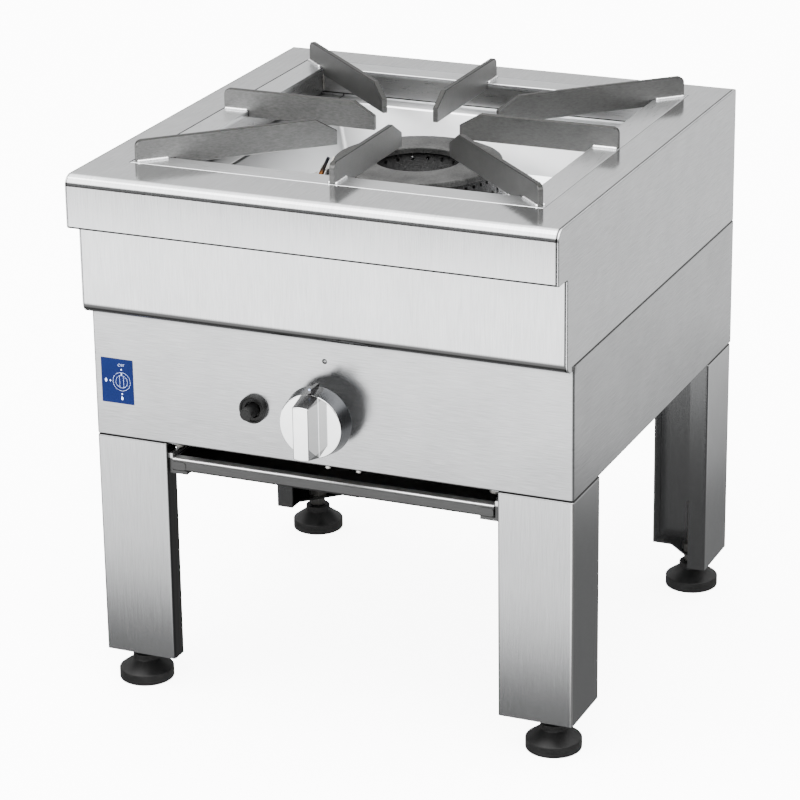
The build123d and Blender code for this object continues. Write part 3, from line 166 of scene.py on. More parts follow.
def scratch(tree, shader, vector, tones, roughness, relief):
    """Tone, gloss and relief from one noise; vector has one unit per scratch across the grain."""
    lines = add(tree, "ShaderNodeTexNoise", {"Scale": 1.0, "Detail": 4.0, "Roughness": 0.65},
                {"Vector": vector})
    whole, _ = object_axes(tree)
    cloud = add(tree, "ShaderNodeTexNoise", {"Scale": 1 / (CLOUD * MM), "Detail": 2.0}, {"Vector": whole})
    both = add(tree, "ShaderNodeMix", {"data_type": "FLOAT", "Factor": CLOUD_SHARE},
               {"A": lines.outputs["Fac"], "B": cloud.outputs["Fac"]})
    tone = add(tree, "ShaderNodeValToRGB", {"stops": ((0.3, tones[0]), (0.7, tones[1]))},
               {"Fac": both.outputs["Result"]})
    gloss = add(tree, "ShaderNodeMapRange",
                {"From Min": 0.3, "From Max": 0.7, "To Min": roughness[0], "To Max": roughness[1]},
                {"Value": lines.outputs["Fac"]})
    bump = add(tree, "ShaderNodeBump", {"Strength": 0.3, "Distance": relief * MM},
               {"Height": lines.outputs["Fac"]})
    tree.links.new(tone.outputs["Color"], shader.inputs["Base Color"])
    tree.links.new(gloss.outputs["Result"], shader.inputs["Roughness"])
    tree.links.new(bump.outputs["Normal"], shader.inputs["Normal"])


# Real scratches lie about 0.2 mm apart; they are drawn 0.6 mm apart so that they show at all.
SCRATCH, STROKE = 0.6, 22


def grain_scale(across):
    """Scale of a Mapping node: fine on the axes that cross the grain, long on the others."""
    return [1 / ((SCRATCH if axis in across else STROKE) * MM) for axis in "XYZ"]


def brushed_stainless(name, across, tones, roughness, relief):
    """Brushed sheet: a satin metal whose highlights smear across the grain."""
    material, tree, shader = start_material(name, Metallic=1.0)
    whole, _ = object_axes(tree)
    stretch = add(tree, "ShaderNodeMapping", {"Scale": grain_scale(across)}, {"Vector": whole})
    scratch(tree, shader, stretch.outputs["Vector"], tones, roughness, relief)
    return material, tree, shader


SATIN = ("#ACADAE", "#CDCECF")
hob_sheet, hob_tree, hob_shader = brushed_stainless("brushed_stainless_hob", "X", SATIN, (0.11, 0.15), 0.001)
side_sheet, side_tree, side_shader = brushed_stainless(
    "brushed_stainless_sides", "Z", SATIN, (0.24, 0.26), 0.0005)
panel_sheet, panel_tree, panel_shader = brushed_stainless(
    "brushed_stainless_panel", "Z", ("#999A9B", "#BCBDBE"), (0.23, 0.25), 0.0003)
leg_sheet, leg_tree, leg_shader = brushed_stainless(
    "brushed_stainless_legs", "XY", ("#B5B6B7", "#C5C6C7"), (0.24, 0.26), 0.0003)
# The tray and its runners are dull mill-finish sheet, never brushed.
tray_sheet, tray_tree, tray_shader = brushed_stainless(
    "mill_finish_stainless", "Z", ("#464646", "#545454"), (0.32, 0.42), 0.001)
print("sheet finishes", [m.name for m in (hob_sheet, side_sheet, panel_sheet, leg_sheet, tray_sheet)])

# %% [markdown]
# ## Seams and folds
# Sheet metal tells how it was made at its edges. Where two sheets meet, the gap is drawn as a dark line of
# painted shade. The lower edge of the hob's band is rolled under, and that hem is darkened with painted
# shade. On an outer fold of the legs a lighter line is a painted highlight. The panel's small punch mark,
# which the knob's pointer meets, has painted shade in its rim.

# %% Seams of the hob and its sides
_, place = object_axes(hob_tree)
# Painted shade: a dark line in the seam beside each side plate.
shaded_seam_beside_plate = (place["X"], 221.7 * MM, 222.1 * MM)
lay_stain_or_painted_light(hob_tree, hob_shader, "#454545", shaded_seam_beside_plate)
# Painted shade: a dark line along the foot of the apron, over the band.
shaded_apron_foot = (place["Z"], 447.0 * MM, 446.4 * MM)
on_apron = (place["Y"], -231.5 * MM, -232 * MM)
lay_stain_or_painted_light(hob_tree, hob_shader, "#242424", shaded_apron_foot, on_apron)
# Painted shade on the band's rolled hem, fading out towards its lower edge.
shaded_hem_roll = (place["Z"], 371.5 * MM, 369.1 * MM)
over_hem = (place["Z"], 363.0 * MM, 366.2 * MM)
on_band = (place["Y"], -205 * MM, -206 * MM)
lay_stain_or_painted_light(hob_tree, hob_shader, "#565656", shaded_hem_roll, over_hem, on_band)
_, place = object_axes(side_tree)
# Painted shade: a dark line along the foot of each side plate, over the casing.
shaded_side_foot = (place["Z"], 366.5 * MM, 366.0 * MM)
behind_hem = (place["Y"], -203 * MM, -202 * MM)
lay_stain_or_painted_light(side_tree, side_shader, "#1E1E1E", shaded_side_foot, behind_hem)
print("hob and sides", len(hob_tree.nodes), "and", len(side_tree.nodes), "nodes")

# %% Seams of the panel
_, place = object_axes(panel_tree)
on_front = (place["Y"], -190 * MM, -192 * MM)
hem_shade = (place["Z"], 355 * MM, 361.5 * MM, 0.6)
lay_stain_or_painted_light(panel_tree, panel_shader, "#505050", hem_shade, on_front)
# Painted shade in the crease over the legs and in the line under the hob.
shaded_crease_over_leg = (place["Z"], 244.6 * MM, 244.0 * MM)
lay_stain_or_painted_light(panel_tree, panel_shader, "#606060", shaded_crease_over_leg)
shaded_line_under_hob = (place["Z"], 363.8 * MM, 364.3 * MM)
lay_stain_or_painted_light(panel_tree, panel_shader, "#1E1E1E", shaded_line_under_hob)
print("panel", len(panel_tree.nodes), "nodes")

# %% Punch mark
PUNCH = Vector((-1.5, 0, 339.7))
whole, _ = object_axes(panel_tree)
from_punch = add(panel_tree, "ShaderNodeVectorMath",
                 {"operation": "MULTIPLY_ADD", 1: (1, 0, 1), 2: -PUNCH * MM}, {0: whole})
reach = add(panel_tree, "ShaderNodeVectorMath", {"operation": "LENGTH"}, {0: from_punch.outputs["Vector"]})
# Painted shade: the rim of the punch mark is darkened.
rim_inside = (reach.outputs["Value"], 1.0 * MM, 1.5 * MM)
rim_outside = (reach.outputs["Value"], 2.5 * MM, 2.2 * MM)
lay_stain_or_painted_light(panel_tree, panel_shader, "#2A2A2A", rim_inside, rim_outside, on_front)
print("punch mark at", list(PUNCH))

# %% Leg tops, leg folds and the tray's lip
_, place = object_axes(leg_tree)
normal = add(leg_tree, "ShaderNodeNewGeometry").outputs["Normal"]
facing = add(leg_tree, "ShaderNodeSeparateXYZ", links={"Vector": normal}).outputs
# Painted highlight: a lighter line down the outer fold of the front right leg.
highlight_fold_x = (place["X"], 222.5 * MM, 222.9 * MM)
highlight_fold_y = (place["Y"], -194.4 * MM, -194.8 * MM)
lay_stain_or_painted_light(leg_tree, leg_shader, "#F2F2F2", highlight_fold_x, highlight_fold_y)
# Painted shade at the tops of the legs, under the casing.
shaded_leg_tops = (place["Z"], 241.9 * MM, 242.5 * MM)
lay_stain_or_painted_light(leg_tree, leg_shader, "#1C1C1C", shaded_leg_tops)
# The hollow sides of the legs, under the stove, and the sides of the front legs are darkened with
# painted shade.
to_front = (facing["Y"], -0.4, -0.7)
towards_back = add(leg_tree, "ShaderNodeMapRange", {"From Min": 100 * MM, "From Max": 400 * MM},
                   {"Value": place["Y"]})
in_back = add(leg_tree, "ShaderNodeValToRGB",
              {"stops": ((0.0, "#000000"), (0.1, "#D4D4D4"), (0.3, "#D4D4D4"), (0.4, "#D0D0D0"))},
              {"Fac": towards_back.outputs["Result"]})
lay_stain_or_painted_light(leg_tree, leg_shader, "#3A3A3A", to_front, in_back.outputs["Color"])
shaded_front_leg_side = (facing["X"], 0.4, 0.7, 0.35)
in_front = (place["Y"], -100 * MM, -120 * MM)
lay_stain_or_painted_light(leg_tree, leg_shader, "#3A3A3A", shaded_front_leg_side, in_front)
# Painted shade on the inner sides of the left legs.
shaded_left_leg_side = (facing["X"], 0.4, 0.7, 0.85)
on_left = (place["X"], -50 * MM, -60 * MM)
lay_stain_or_painted_light(leg_tree, leg_shader, "#2A2A2A", shaded_left_leg_side, on_left)
# Painted shade on the faces of the legs that look up.
shaded_upward_face = (facing["Z"], 0.4, 0.7)
lay_stain_or_painted_light(leg_tree, leg_shader, "#2A2A2A", shaded_upward_face)
_, place = object_axes(tray_tree)
# Painted highlight: a light line along the top of the tray's lip.
highlight_lip_top = (place["Z"], 227.8 * MM, 228.2 * MM)
lay_stain_or_painted_light(tray_tree, tray_shader, "#DADADA", highlight_lip_top)
print("legs and tray", len(leg_tree.nodes), "and", len(tray_tree.nodes), "nodes")

# %% [markdown]
# ## Pan support
# The frame is four lengths of angle, mitred and welded, so its grain turns at each corner: along X in
# the front and back bars and along Y in the side bars. The diagonals of the frame tell which bar a
# point is on. The eight fingers are flat bar, brushed along their length. Measured outwards from the
# burner, their grain is the same for all of them. The cut edges of the bar are dark and dull.

# %% Support frame finish
SUPPORT_Y = 9.25
frame_steel, tree, shader = start_material("brushed_stainless_angle", Metallic=1.0)
whole, place = object_axes(tree)
centred = add(tree, "ShaderNodeVectorMath", {"operation": "SUBTRACT", 1: (0, SUPPORT_Y * MM, 0)}, {0: whole})
size = add(tree, "ShaderNodeVectorMath", {"operation": "ABSOLUTE"}, {0: centred.outputs["Vector"]})
split = add(tree, "ShaderNodeSeparateXYZ", links={"Vector": size.outputs["Vector"]})
side_bar = add(tree, "ShaderNodeMath", {"operation": "GREATER_THAN"},
               {0: split.outputs["X"], 1: split.outputs["Y"]})
long_x = add(tree, "ShaderNodeMapping", {"Scale": grain_scale("YZ")}, {"Vector": whole})
long_y = add(tree, "ShaderNodeMapping", {"Scale": grain_scale("XZ")}, {"Vector": whole})
bar_grain = add(tree, "ShaderNodeMix", {"data_type": "VECTOR"},
                {0: side_bar.outputs[0], 4: long_x.outputs["Vector"], 5: long_y.outputs["Vector"]})
scratch(tree, shader, bar_grain.outputs[1], ("#B0B1B2", "#C6C7C8"), (0.26, 0.33), 0.0004)
# Painted shade: the inner wall of the angle is darker.
shaded_inner_wall = (place["Z"], 490 * MM, 487.5 * MM)
lay_stain_or_painted_light(tree, shader, "#868686", shaded_inner_wall)
print("support frame", frame_steel.name)

# %% Finger finish
# Grain of the flat bar in millimetres: outwards, across the bar and up its side.
FINGER_GRAIN = (4, 60, 1.2)
finger_steel, tree, shader = start_material("brushed_flat_bar", Metallic=1.0)
whole, place = object_axes(tree)
flat = add(tree, "ShaderNodeVectorMath",
           {"operation": "MULTIPLY_ADD", 1: (1, 1, 0), 2: (0, -SUPPORT_Y * MM, 0)}, {0: whole})
reach = add(tree, "ShaderNodeVectorMath", {"operation": "LENGTH"}, {0: flat.outputs["Vector"]})
along = add(tree, "ShaderNodeCombineXYZ",
            links={"X": reach.outputs["Value"], "Y": place["X"], "Z": place["Z"]})
stretch = add(tree, "ShaderNodeMapping", {"Scale": [1 / (grain * MM) for grain in FINGER_GRAIN]},
              {"Vector": along.outputs["Vector"]})
scratch(tree, shader, stretch.outputs["Vector"], ("#727271", "#8F8F8E"), (0.38, 0.50), 0.01)
normal = add(tree, "ShaderNodeNewGeometry").outputs["Normal"]
facing = add(tree, "ShaderNodeSeparateXYZ", links={"Vector": normal}).outputs
# The bars on the right are darkened with painted shade, and the left flanks at the back are darker too.
shaded_right_half = (place["X"], -90 * MM, 60 * MM, 0.55)
lay_stain_or_painted_light(tree, shader, "#464645", shaded_right_half)
left_flank = (facing["X"], -0.4, -0.65, 0.55)
at_back = (place["Y"], 40 * MM, 60 * MM)
lay_stain_or_painted_light(tree, shader, "#3A3A39", left_flank, at_back)
cut_edge = (facing["Z"], 0.25, 0.6)
lay_stain_or_painted_light(tree, shader, "#2C2C2B", cut_edge)
print("fingers", finger_steel.name)

# %% [markdown]
# ## Bright sheet and plated small parts
# The spill pan is bright annealed sheet, nearly a mirror, with a soft waviness from pressing. Screws,
# spindles and brackets are zinc plated, the gas fittings are turned brass and the tubes drawn copper.
# All of them are a clear metal with soft patches, so one function makes them, each with its own sizes.


# %% Clear and plated metals
def clouded_metal(name, tones, roughness, patch, relief):
    """Metal with soft patches, in millimetres, in its tone, gloss and relief."""
    material, tree, shader = start_material(name, Metallic=1.0)
    whole, _ = object_axes(tree)
    scale = add(tree, "ShaderNodeMapping", {"Scale": [1 / (patch * MM)] * 3}, {"Vector": whole})
    scratch(tree, shader, scale.outputs["Vector"], tones, roughness, relief)
    return material


# Bright annealed: pale and soft, so the pan fills with the light that falls into it.
bright_pan = clouded_metal("bright_annealed_stainless", ("#E6E7E8", "#F0F1F2"), (0.38, 0.46), 55, 0.01)
# Zinc: a slightly warm grey with a fine satin.
zinc_plate = clouded_metal("zinc_plated_steel", ("#B4B3AE", "#CBCAC6"), (0.28, 0.42), 3, 0.01)
# Dull zinc: bolts and studs that have been handled and stained, darker than new ones.
dull_zinc = clouded_metal("dull_zinc_fasteners", ("#5E5D5A", "#7C7B78"), (0.34, 0.48), 3, 0.01)
# Brass and copper: turned and drawn, soft highlights and a little uneven from handling.
brass = clouded_metal("turned_brass", ("#B08A45", "#C9A35C"), (0.25, 0.40), 4, 0.01)
copper = clouded_metal("drawn_copper_tube", ("#B0693F", "#C98558"), (0.28, 0.42), 5, 0.01)
# Weld metal: freshly brushed, the brightest spots on the pan support.
weld_metal = clouded_metal("brushed_weld_metal", ("#E4E5E6", "#F4F4F4"), (0.22, 0.34), 2, 0.02)
print("metals", bright_pan.name, zinc_plate.name, dull_zinc.name, brass.name, copper.name, weld_metal.name)

# %% Painted shade in the spill pan
# The gap under the support, the pan's left wall and the fold there are darkened: painted shade.
PAN_FOLD = 146.4
tree = bright_pan.node_tree
shader = tree.nodes["Principled BSDF"]
_, place = object_axes(tree)
shaded_left_wall = (place["X"], -95 * MM, -146 * MM, 0.85)
lay_stain_or_painted_light(tree, shader, "#6A6A6A", shaded_left_wall)
to_fold = add(tree, "ShaderNodeMath", {"operation": "ADD", 1: PAN_FOLD * MM}, {0: place["X"]})
off_fold = add(tree, "ShaderNodeMath", {"operation": "ABSOLUTE"}, {0: to_fold.outputs[0]})
shaded_pan_fold = (off_fold.outputs[0], 0.9 * MM, 0.5 * MM)
lay_stain_or_painted_light(tree, shader, "#2E2E2E", shaded_pan_fold)
aside = add(tree, "ShaderNodeMath", {"operation": "ABSOLUTE"}, {0: place["X"]})
gap_aside = add(tree, "ShaderNodeMapRange", {"From Min": 166.2 * MM, "From Max": 166.6 * MM},
                {"Value": aside.outputs[0]})
gap_back = add(tree, "ShaderNodeMapRange", {"From Min": 174.9 * MM, "From Max": 175.2 * MM},
               {"Value": place["Y"]})
shaded_pan_gap = add(tree, "ShaderNodeMath", {"operation": "MAXIMUM"},
              {0: gap_aside.outputs["Result"], 1: gap_back.outputs["Result"]})
under_frame = (place["Z"], 466.4 * MM, 466.8 * MM)
lay_stain_or_painted_light(tree, shader, "#1E1E1E", shaded_pan_gap.outputs[0], under_frame)
print("spill pan", len(tree.nodes), "nodes")

# %% [markdown]
# ## Chromed knob and heated probe
# The knob is a plastic moulding plated with chrome. Its face is polished. Its skirt and the ends of its
# grip, which hands touch, have gone dull, and their grey is painted reflection; its hollow back is bare
# plastic, because plating stops at a radius round the spindle behind the face. The thermocouple is steel
# that the pilot flame has blued at the tip and stained copper brown below it, so its colour follows its
# height.

# %% Parts of the knob
KNOB = Vector((-1.5, -212.0, 291.7))
SMUDGE = 9
chrome, tree, shader = start_material("chrome_plated_moulding")
whole, _ = object_axes(tree)
from_knob = add(tree, "ShaderNodeVectorMath", {"operation": "SUBTRACT", 1: KNOB * MM},
                {0: whole}).outputs["Vector"]
flat = add(tree, "ShaderNodeVectorMath", {"operation": "MULTIPLY", 1: (1, 0, 1)}, {0: from_knob})
reach = add(tree, "ShaderNodeVectorMath", {"operation": "LENGTH"},
            {0: flat.outputs["Vector"]}).outputs["Value"]
depth = add(tree, "ShaderNodeSeparateXYZ", links={"Vector": from_knob}).outputs
# Each part of the knob: what is measured, in millimetres, and where its mask turns from black to white.
knob_parts = {"near_axis": (reach, 27.6, 27.4), "behind_face": (depth["Y"], -15.6, -15.4),
              "skirt": (depth["Y"], -16.9, -16.5), "grip": (depth["Y"], -17.3, -17.6),
              "grip_end": (reach, 23.9, 24.2)}
on = {part: add(tree, "ShaderNodeMapRange", {"From Min": black * MM, "From Max": white * MM},
                {"Value": source}).outputs["Result"] for part, (source, black, white) in knob_parts.items()}
hollow = add(tree, "ShaderNodeMath", {"operation": "MULTIPLY"}, {0: on["near_axis"], 1: on["behind_face"]})
plated = add(tree, "ShaderNodeMath", {"operation": "SUBTRACT", 0: 1.0}, {1: hollow.outputs[0]})
dull_and_painted_end = add(tree, "ShaderNodeMath", {"operation": "MULTIPLY"}, {0: on["grip_end"], 1: on["grip"]})
dull = add(tree, "ShaderNodeMath", {"operation": "MAXIMUM"}, {0: on["skirt"], 1: dull_and_painted_end.outputs[0]})
print("knob parts", list(on))

# %% Knob finish
smudge = add(tree, "ShaderNodeTexNoise", {"Scale": 1 / (SMUDGE * MM), "Detail": 3.0}, {"Vector": whole})
face_tone = add(tree, "ShaderNodeValToRGB", {"stops": ((0.3, "#F0F1F2"), (0.7, "#F7F8F8"))},
                {"Fac": smudge.outputs["Fac"]})
gloss = add(tree, "ShaderNodeMapRange", {"To Min": 0.06, "To Max": 0.25}, {"Value": dull.outputs[0]})
tree.links.new(face_tone.outputs["Color"], shader.inputs["Base Color"])
tree.links.new(gloss.outputs["Result"], shader.inputs["Roughness"])
tree.links.new(plated.outputs[0], shader.inputs["Metallic"])
# The skirt's grey is painted reflection; its dullness is the roughness above.
lay_stain_or_painted_light(tree, shader, "#606163", on["skirt"])
lay_stain_or_painted_light(tree, shader, "#B0B0B0", hollow.outputs[0])
# Painted reflection: the grip's right flank, its left edge, its ends and the rim beside the grip are
# darkened.
right_flank = (depth["X"], 6.7 * MM, 7.1 * MM)
lay_stain_or_painted_light(tree, shader, "#868686", right_flank, on["grip"])
left_edge = (depth["X"], -6.2 * MM, -6.6 * MM)
lay_stain_or_painted_light(tree, shader, "#3A3A3A", left_edge, on["grip"])
lay_stain_or_painted_light(tree, shader, "#565656", dull_and_painted_end.outputs[0])
aside = add(tree, "ShaderNodeMath", {"operation": "ABSOLUTE"}, {0: depth["X"]})
below_grip = (aside.outputs[0], 8.0 * MM, 7.6 * MM)
at_rim = (reach, 27.4 * MM, 27.8 * MM)
lay_stain_or_painted_light(tree, shader, "#565656", below_grip, at_rim)
print("knob", chrome.name, len(tree.nodes), "nodes")

# %% Probe finish
PROBE_LOW, PROBE_TIP = 428, 458
probe, tree, shader = start_material("heat_tinted_probe", Metallic=1.0, Roughness=0.34)
_, place = object_axes(tree)
up = add(tree, "ShaderNodeMapRange", {"From Min": PROBE_LOW * MM, "From Max": PROBE_TIP * MM},
         {"Value": place["Z"]})
tint = add(tree, "ShaderNodeValToRGB", {"stops": (
    (0.0, "#6E5A44"), (0.25, "#B07A45"), (0.5, "#8A5B33"), (0.62, "#3A322E"), (0.9, "#23252A"))},
    {"Fac": up.outputs["Result"]})
tree.links.new(tint.outputs["Color"], shader.inputs["Base Color"])
print("probe", probe.name)

# %% [markdown]
# ## Cast iron, plastic, ceramic and print
# Sand casting leaves grains of about half a millimetre in the iron, drawn coarser here so that they show.
# The burner body is black from its first firing and a little shiny. The feet and the igniter are
# moulded nylon with a fine texture. The label is a printed plate, and its signs are screen print.


# %% Castings, plastics and print
# Stains are this many grains wide and make up this share of the tone.
BROAD, BROAD_SHARE = 12, 0.4


def grained(name, tones, roughness, grain, relief, **sockets):
    """A cast, moulded or printed surface: fine grain in millimetres over broad soft stains."""
    material, tree, shader = start_material(name, **sockets)
    whole, _ = object_axes(tree)
    fine = add(tree, "ShaderNodeTexNoise", {"Scale": 1 / (grain * MM), "Detail": 4.0, "Roughness": 0.7},
               {"Vector": whole})
    broad = add(tree, "ShaderNodeTexNoise", {"Scale": 1 / (BROAD * grain * MM), "Detail": 3.0},
                {"Vector": whole})
    both = add(tree, "ShaderNodeMix", {"data_type": "FLOAT", "Factor": BROAD_SHARE},
               {"A": fine.outputs["Fac"], "B": broad.outputs["Fac"]})
    tone = add(tree, "ShaderNodeValToRGB", {"stops": ((0.36, tones[0]), (0.64, tones[1]))},
               {"Fac": both.outputs["Result"]})
    gloss = add(tree, "ShaderNodeMapRange",
                {"From Min": 0.35, "From Max": 0.65, "To Min": roughness[0], "To Max": roughness[1]},
                {"Value": broad.outputs["Fac"]})
    bump = add(tree, "ShaderNodeBump", {"Strength": 0.6, "Distance": relief * MM},
               {"Height": fine.outputs["Fac"]})
    tree.links.new(tone.outputs["Color"], shader.inputs["Base Color"])
    tree.links.new(gloss.outputs["Result"], shader.inputs["Roughness"])
    tree.links.new(bump.outputs["Normal"], shader.inputs["Normal"])
    return material


# Machined and blasted top of the cap: an even sandy grey.
cast_iron = grained("blasted_cast_iron", ("#050505", "#424241"), (0.50, 0.62), 1.6, 0.5, Metallic=0.6)
# Fired casting: black, with a sparkle on each grain.
burnt_iron = grained("fired_black_cast_iron", ("#020202", "#161616"), (0.16, 0.30), 2.4, 3.0,
                     Metallic=0.4, Specular_IOR_Level=0.3)
# Nylon: a deep black that goes grey only where it faces the light.
black_nylon = grained("moulded_black_nylon", ("#090909", "#111111"), (0.36, 0.46), 0.9, 0.02,
                      Specular_IOR_Level=0.15)
# Printed plate: a deep even blue with a matt clear coat.
blue_print = grained("blue_printed_plate", ("#050E30", "#061136"), (0.5, 0.58), 1.2, 0.004,
                     Specular_IOR_Level=0.03)
# Screen print: thin white ink that lets a little of the blue through.
white_print = grained("white_screen_print", ("#8E9CC4", "#9CA9CE"), (0.45, 0.55), 1.0, 0.002)
# Ceramic and silicone: the electrode's glaze and the soft sleeve of its lead.
ceramic = grained("glazed_ceramic", ("#D9D4C6", "#ECE8DD"), (0.12, 0.20), 2.0, 0.01)
silicone = grained("black_silicone_sleeve", ("#121212", "#1B1B1B"), (0.50, 0.62), 1.0, 0.01)
print("grained finishes", cast_iron.name, burnt_iron.name, black_nylon.name)

# %% [markdown]
# ## Give every piece its finish
# Each node of the model keeps its mesh and gets a finish by its name. A node that the table missed
# would show as plain grey, so the cell stops if one is left over.

# %% Assign the finishes
LEGS = ("front_left", "front_right", "back_left", "back_right")
finish_of = {
    hob_sheet: ["hob_top", "hob_back"],
    side_sheet: ["hob_side_left", "hob_side_right"],
    panel_sheet: ["lower_casing", "lower_back"],
    tray_sheet: ["drip_tray", "tray_runner_left", "tray_runner_right"],
    leg_sheet: [f"leg_{leg}" for leg in LEGS],
    frame_steel: ["pan_support_frame"],
    finger_steel: ["pan_side_fingers", "pan_corner_fingers"],
    bright_pan: ["spill_pan"],
    cast_iron: ["burner_cap", "mixing_tube"],
    burnt_iron: ["burner_body"],
    chrome: ["control_knob"],
    black_nylon: ["igniter_bezel", "igniter_button", "igniter_body", "igniter_nut"]
    + [f"foot_pad_{leg}" for leg in LEGS],
    blue_print: ["control_label"],
    brass: ["injector_holder", "injector", "gas_valve_body", "gas_inlet", "pipe_nuts"],
    copper: ["burner_feed_pipe", "pilot_tube", "thermocouple_lead"],
    probe: ["thermocouple"],
    ceramic: ["spark_electrode"],
    silicone: ["ignition_lead"],
    dull_zinc: ["casing_bolts", "foot_nuts", "runner_screws"] + [f"foot_spindle_{leg}" for leg in LEGS],
    zinc_plate: ["burner_bracket", "air_shutter", "valve_push_rod", "valve_spring", "valve_spindle",
                 "knob_screw", "valve_bracket", "casing_screws", "igniter_spring", "supply_pipe",
                 "pilot_bracket", "pilot_burner"],
}
bare = set(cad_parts)
for material, names in finish_of.items():
    for name in names:
        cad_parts[name].material_slots[0].material = material
        bare.discard(name)
assert not bare, f"no finish for {sorted(bare)}"
print("dressed", sum(len(names) for names in finish_of.values()), "nodes")

# %% [markdown]
# ## Weld beads on the pan support
# Each finger is held to the frame by a short bead on both sides, and the frame's corners are welded on
# the inside. A bead is a row of small ripples: a ring is drawn out step by step, and its size rises
# and falls a little at each step and closes at both ends.


# %% Beads from rings
# Points closer than this, in millimetres, are one point.
SAME = 0.0005


def finished(name, bm, body, material, smooth=False):
    """Turn a bmesh into a piece that rides on a body and takes a finish."""
    bmesh.ops.remove_doubles(bm, verts=bm.verts, dist=SAME * MM)
    bmesh.ops.recalc_face_normals(bm, faces=bm.faces)
    for face in bm.faces:
        face.smooth = smooth
    mesh = bpy.data.meshes.new(name)
    bm.to_mesh(mesh)
    bm.free()
    mesh.materials.append(material)
    piece = bpy.data.objects.new(name, mesh)
    scene.collection.objects.link(piece)
    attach(piece, body)
    return piece


def drawn_out(bm, edges):
    """Extrude a ring of edges and give its new vertices and its new edges."""
    grown = bmesh.ops.extrude_edge_only(bm, edges=edges)["geom"]
    verts = [g for g in grown if isinstance(g, bmesh.types.BMVert)]
    fresh = set(verts)
    return verts, [g for g in grown if isinstance(g, bmesh.types.BMEdge) and set(g.verts) <= fresh]


# A bead has a ripple about every 0.9 mm. It swells and shrinks by a share of its size at each one, and
# starts and ends at a smaller share.
RIPPLE, SWELL, TAPER, BEAD_SIDES = 0.9, 0.07, 0.45, 10


def draw_bead(bm, start, end, radius):
    """Draw a rippled bead between two points, in millimetres."""
    start, end = Vector(start) * MM, Vector(end) * MM
    steps = max(6, round((end - start).length / (RIPPLE * MM)))
    turn = (end - start).to_track_quat("Z", "X").to_matrix().to_4x4()
    ring = bmesh.ops.create_circle(bm, cap_ends=True, segments=BEAD_SIDES, radius=radius * MM * TAPER,
                                   matrix=Matrix.Translation(start) @ turn)
    edges = list({e for v in ring["verts"] for e in v.link_edges})
    size = TAPER
    for step in range(1, steps + 1):
        verts, edges = drawn_out(bm, edges)
        middle = start.lerp(end, step / steps)
        bmesh.ops.translate(bm, verts=verts, vec=(end - start) / steps)
        ripple = TAPER if step == steps else 1 + SWELL * (-1) ** step
        bmesh.ops.scale(bm, verts=verts, vec=[ripple / size] * 3, space=Matrix.Translation(-middle))
        size = ripple
    bmesh.ops.contextual_create(bm, geom=edges)


print("a bead ends at", TAPER, "of its size")

# %% Beads along the fingers
# The beads keep clear of the frame's inner and outer edges, and are sunk into the bar and the frame.
HOB_Z, BAR, BEAD = 492.0, 5.0, 1.5
FRAME_IN, FRAME_OUT = (165.5, 162.25), (190.5, 187.25)
CLEAR_IN, CLEAR_OUT, CLEAR_CORNER, CORNER_FAR = 0.8, 1.5, 1, 261.5
BESIDE_BAR, ABOVE_FRAME = BEAD * 0.45, BEAD * 0.3
to_corner = Vector(FRAME_IN).normalized()
fingers = [(Vector(d), FRAME_IN[i] + CLEAR_IN, FRAME_OUT[i] - CLEAR_OUT)
           for d, i in (((1, 0), 0), ((-1, 0), 0), ((0, 1), 1), ((0, -1), 1))]
fingers += [(Vector((to_corner.x * sx, to_corner.y * sy)), hypot(*FRAME_IN) + CLEAR_CORNER, CORNER_FAR)
            for sx in (1, -1) for sy in (1, -1)]
bm = bmesh.new()
for outward, near, far in fingers:
    sideways = Vector((-outward.y, outward.x)) * (BAR / 2 + BESIDE_BAR)
    for side in (1, -1):
        ends = [(outward * s + sideways * side).to_3d() + Vector((0, SUPPORT_Y, HOB_Z + ABOVE_FRAME))
                for s in (near, far)]
        draw_bead(bm, *ends, BEAD)
beads = finished("weld_beads", bm, "pan_support", weld_metal, smooth=True)
print("weld beads", len(beads.data.polygons), "faces")

# %% Welds in the corners
CORNER_LOW, CORNER_HIGH, CORNER_BEAD, CORNER_SUNK = 470, 485, 1.2, 0.3
bm = bmesh.new()
for sx in (1, -1):
    for sy in (1, -1):
        corner = Vector((sx * (FRAME_IN[0] - CORNER_SUNK), SUPPORT_Y + sy * (FRAME_IN[1] - CORNER_SUNK), 0))
        draw_bead(bm, corner + Vector((0, 0, CORNER_LOW)), corner + Vector((0, 0, CORNER_HIGH)), CORNER_BEAD)
corner_welds = finished("corner_welds", bm, "pan_support", dull_zinc, smooth=True)
print("corner welds", len(corner_welds.data.polygons), "faces")

# %% [markdown]
# ## Screw threads
# The feet stand on threaded studs with a hexagon collar, which a spanner turns to level the stove. A die
# cuts the thread as it goes round, and the mesh is made the same way: one tooth of the thread is spun
# round the axis and carried up by one pitch a turn. The two ends are then cut flat and filled.


# %% Thread by spinning a tooth
# The flat crest of a tooth and the run-in below the thread are shares of the pitch. The run-in and the
# spare turns are cut off at the ends. Neighbouring turns share the points of their roots.
CREST_FROM, CREST_TO, RUN_IN, SPARE_TURNS, SHARED = 0.42, 0.58, 1.5, 4, 0.001


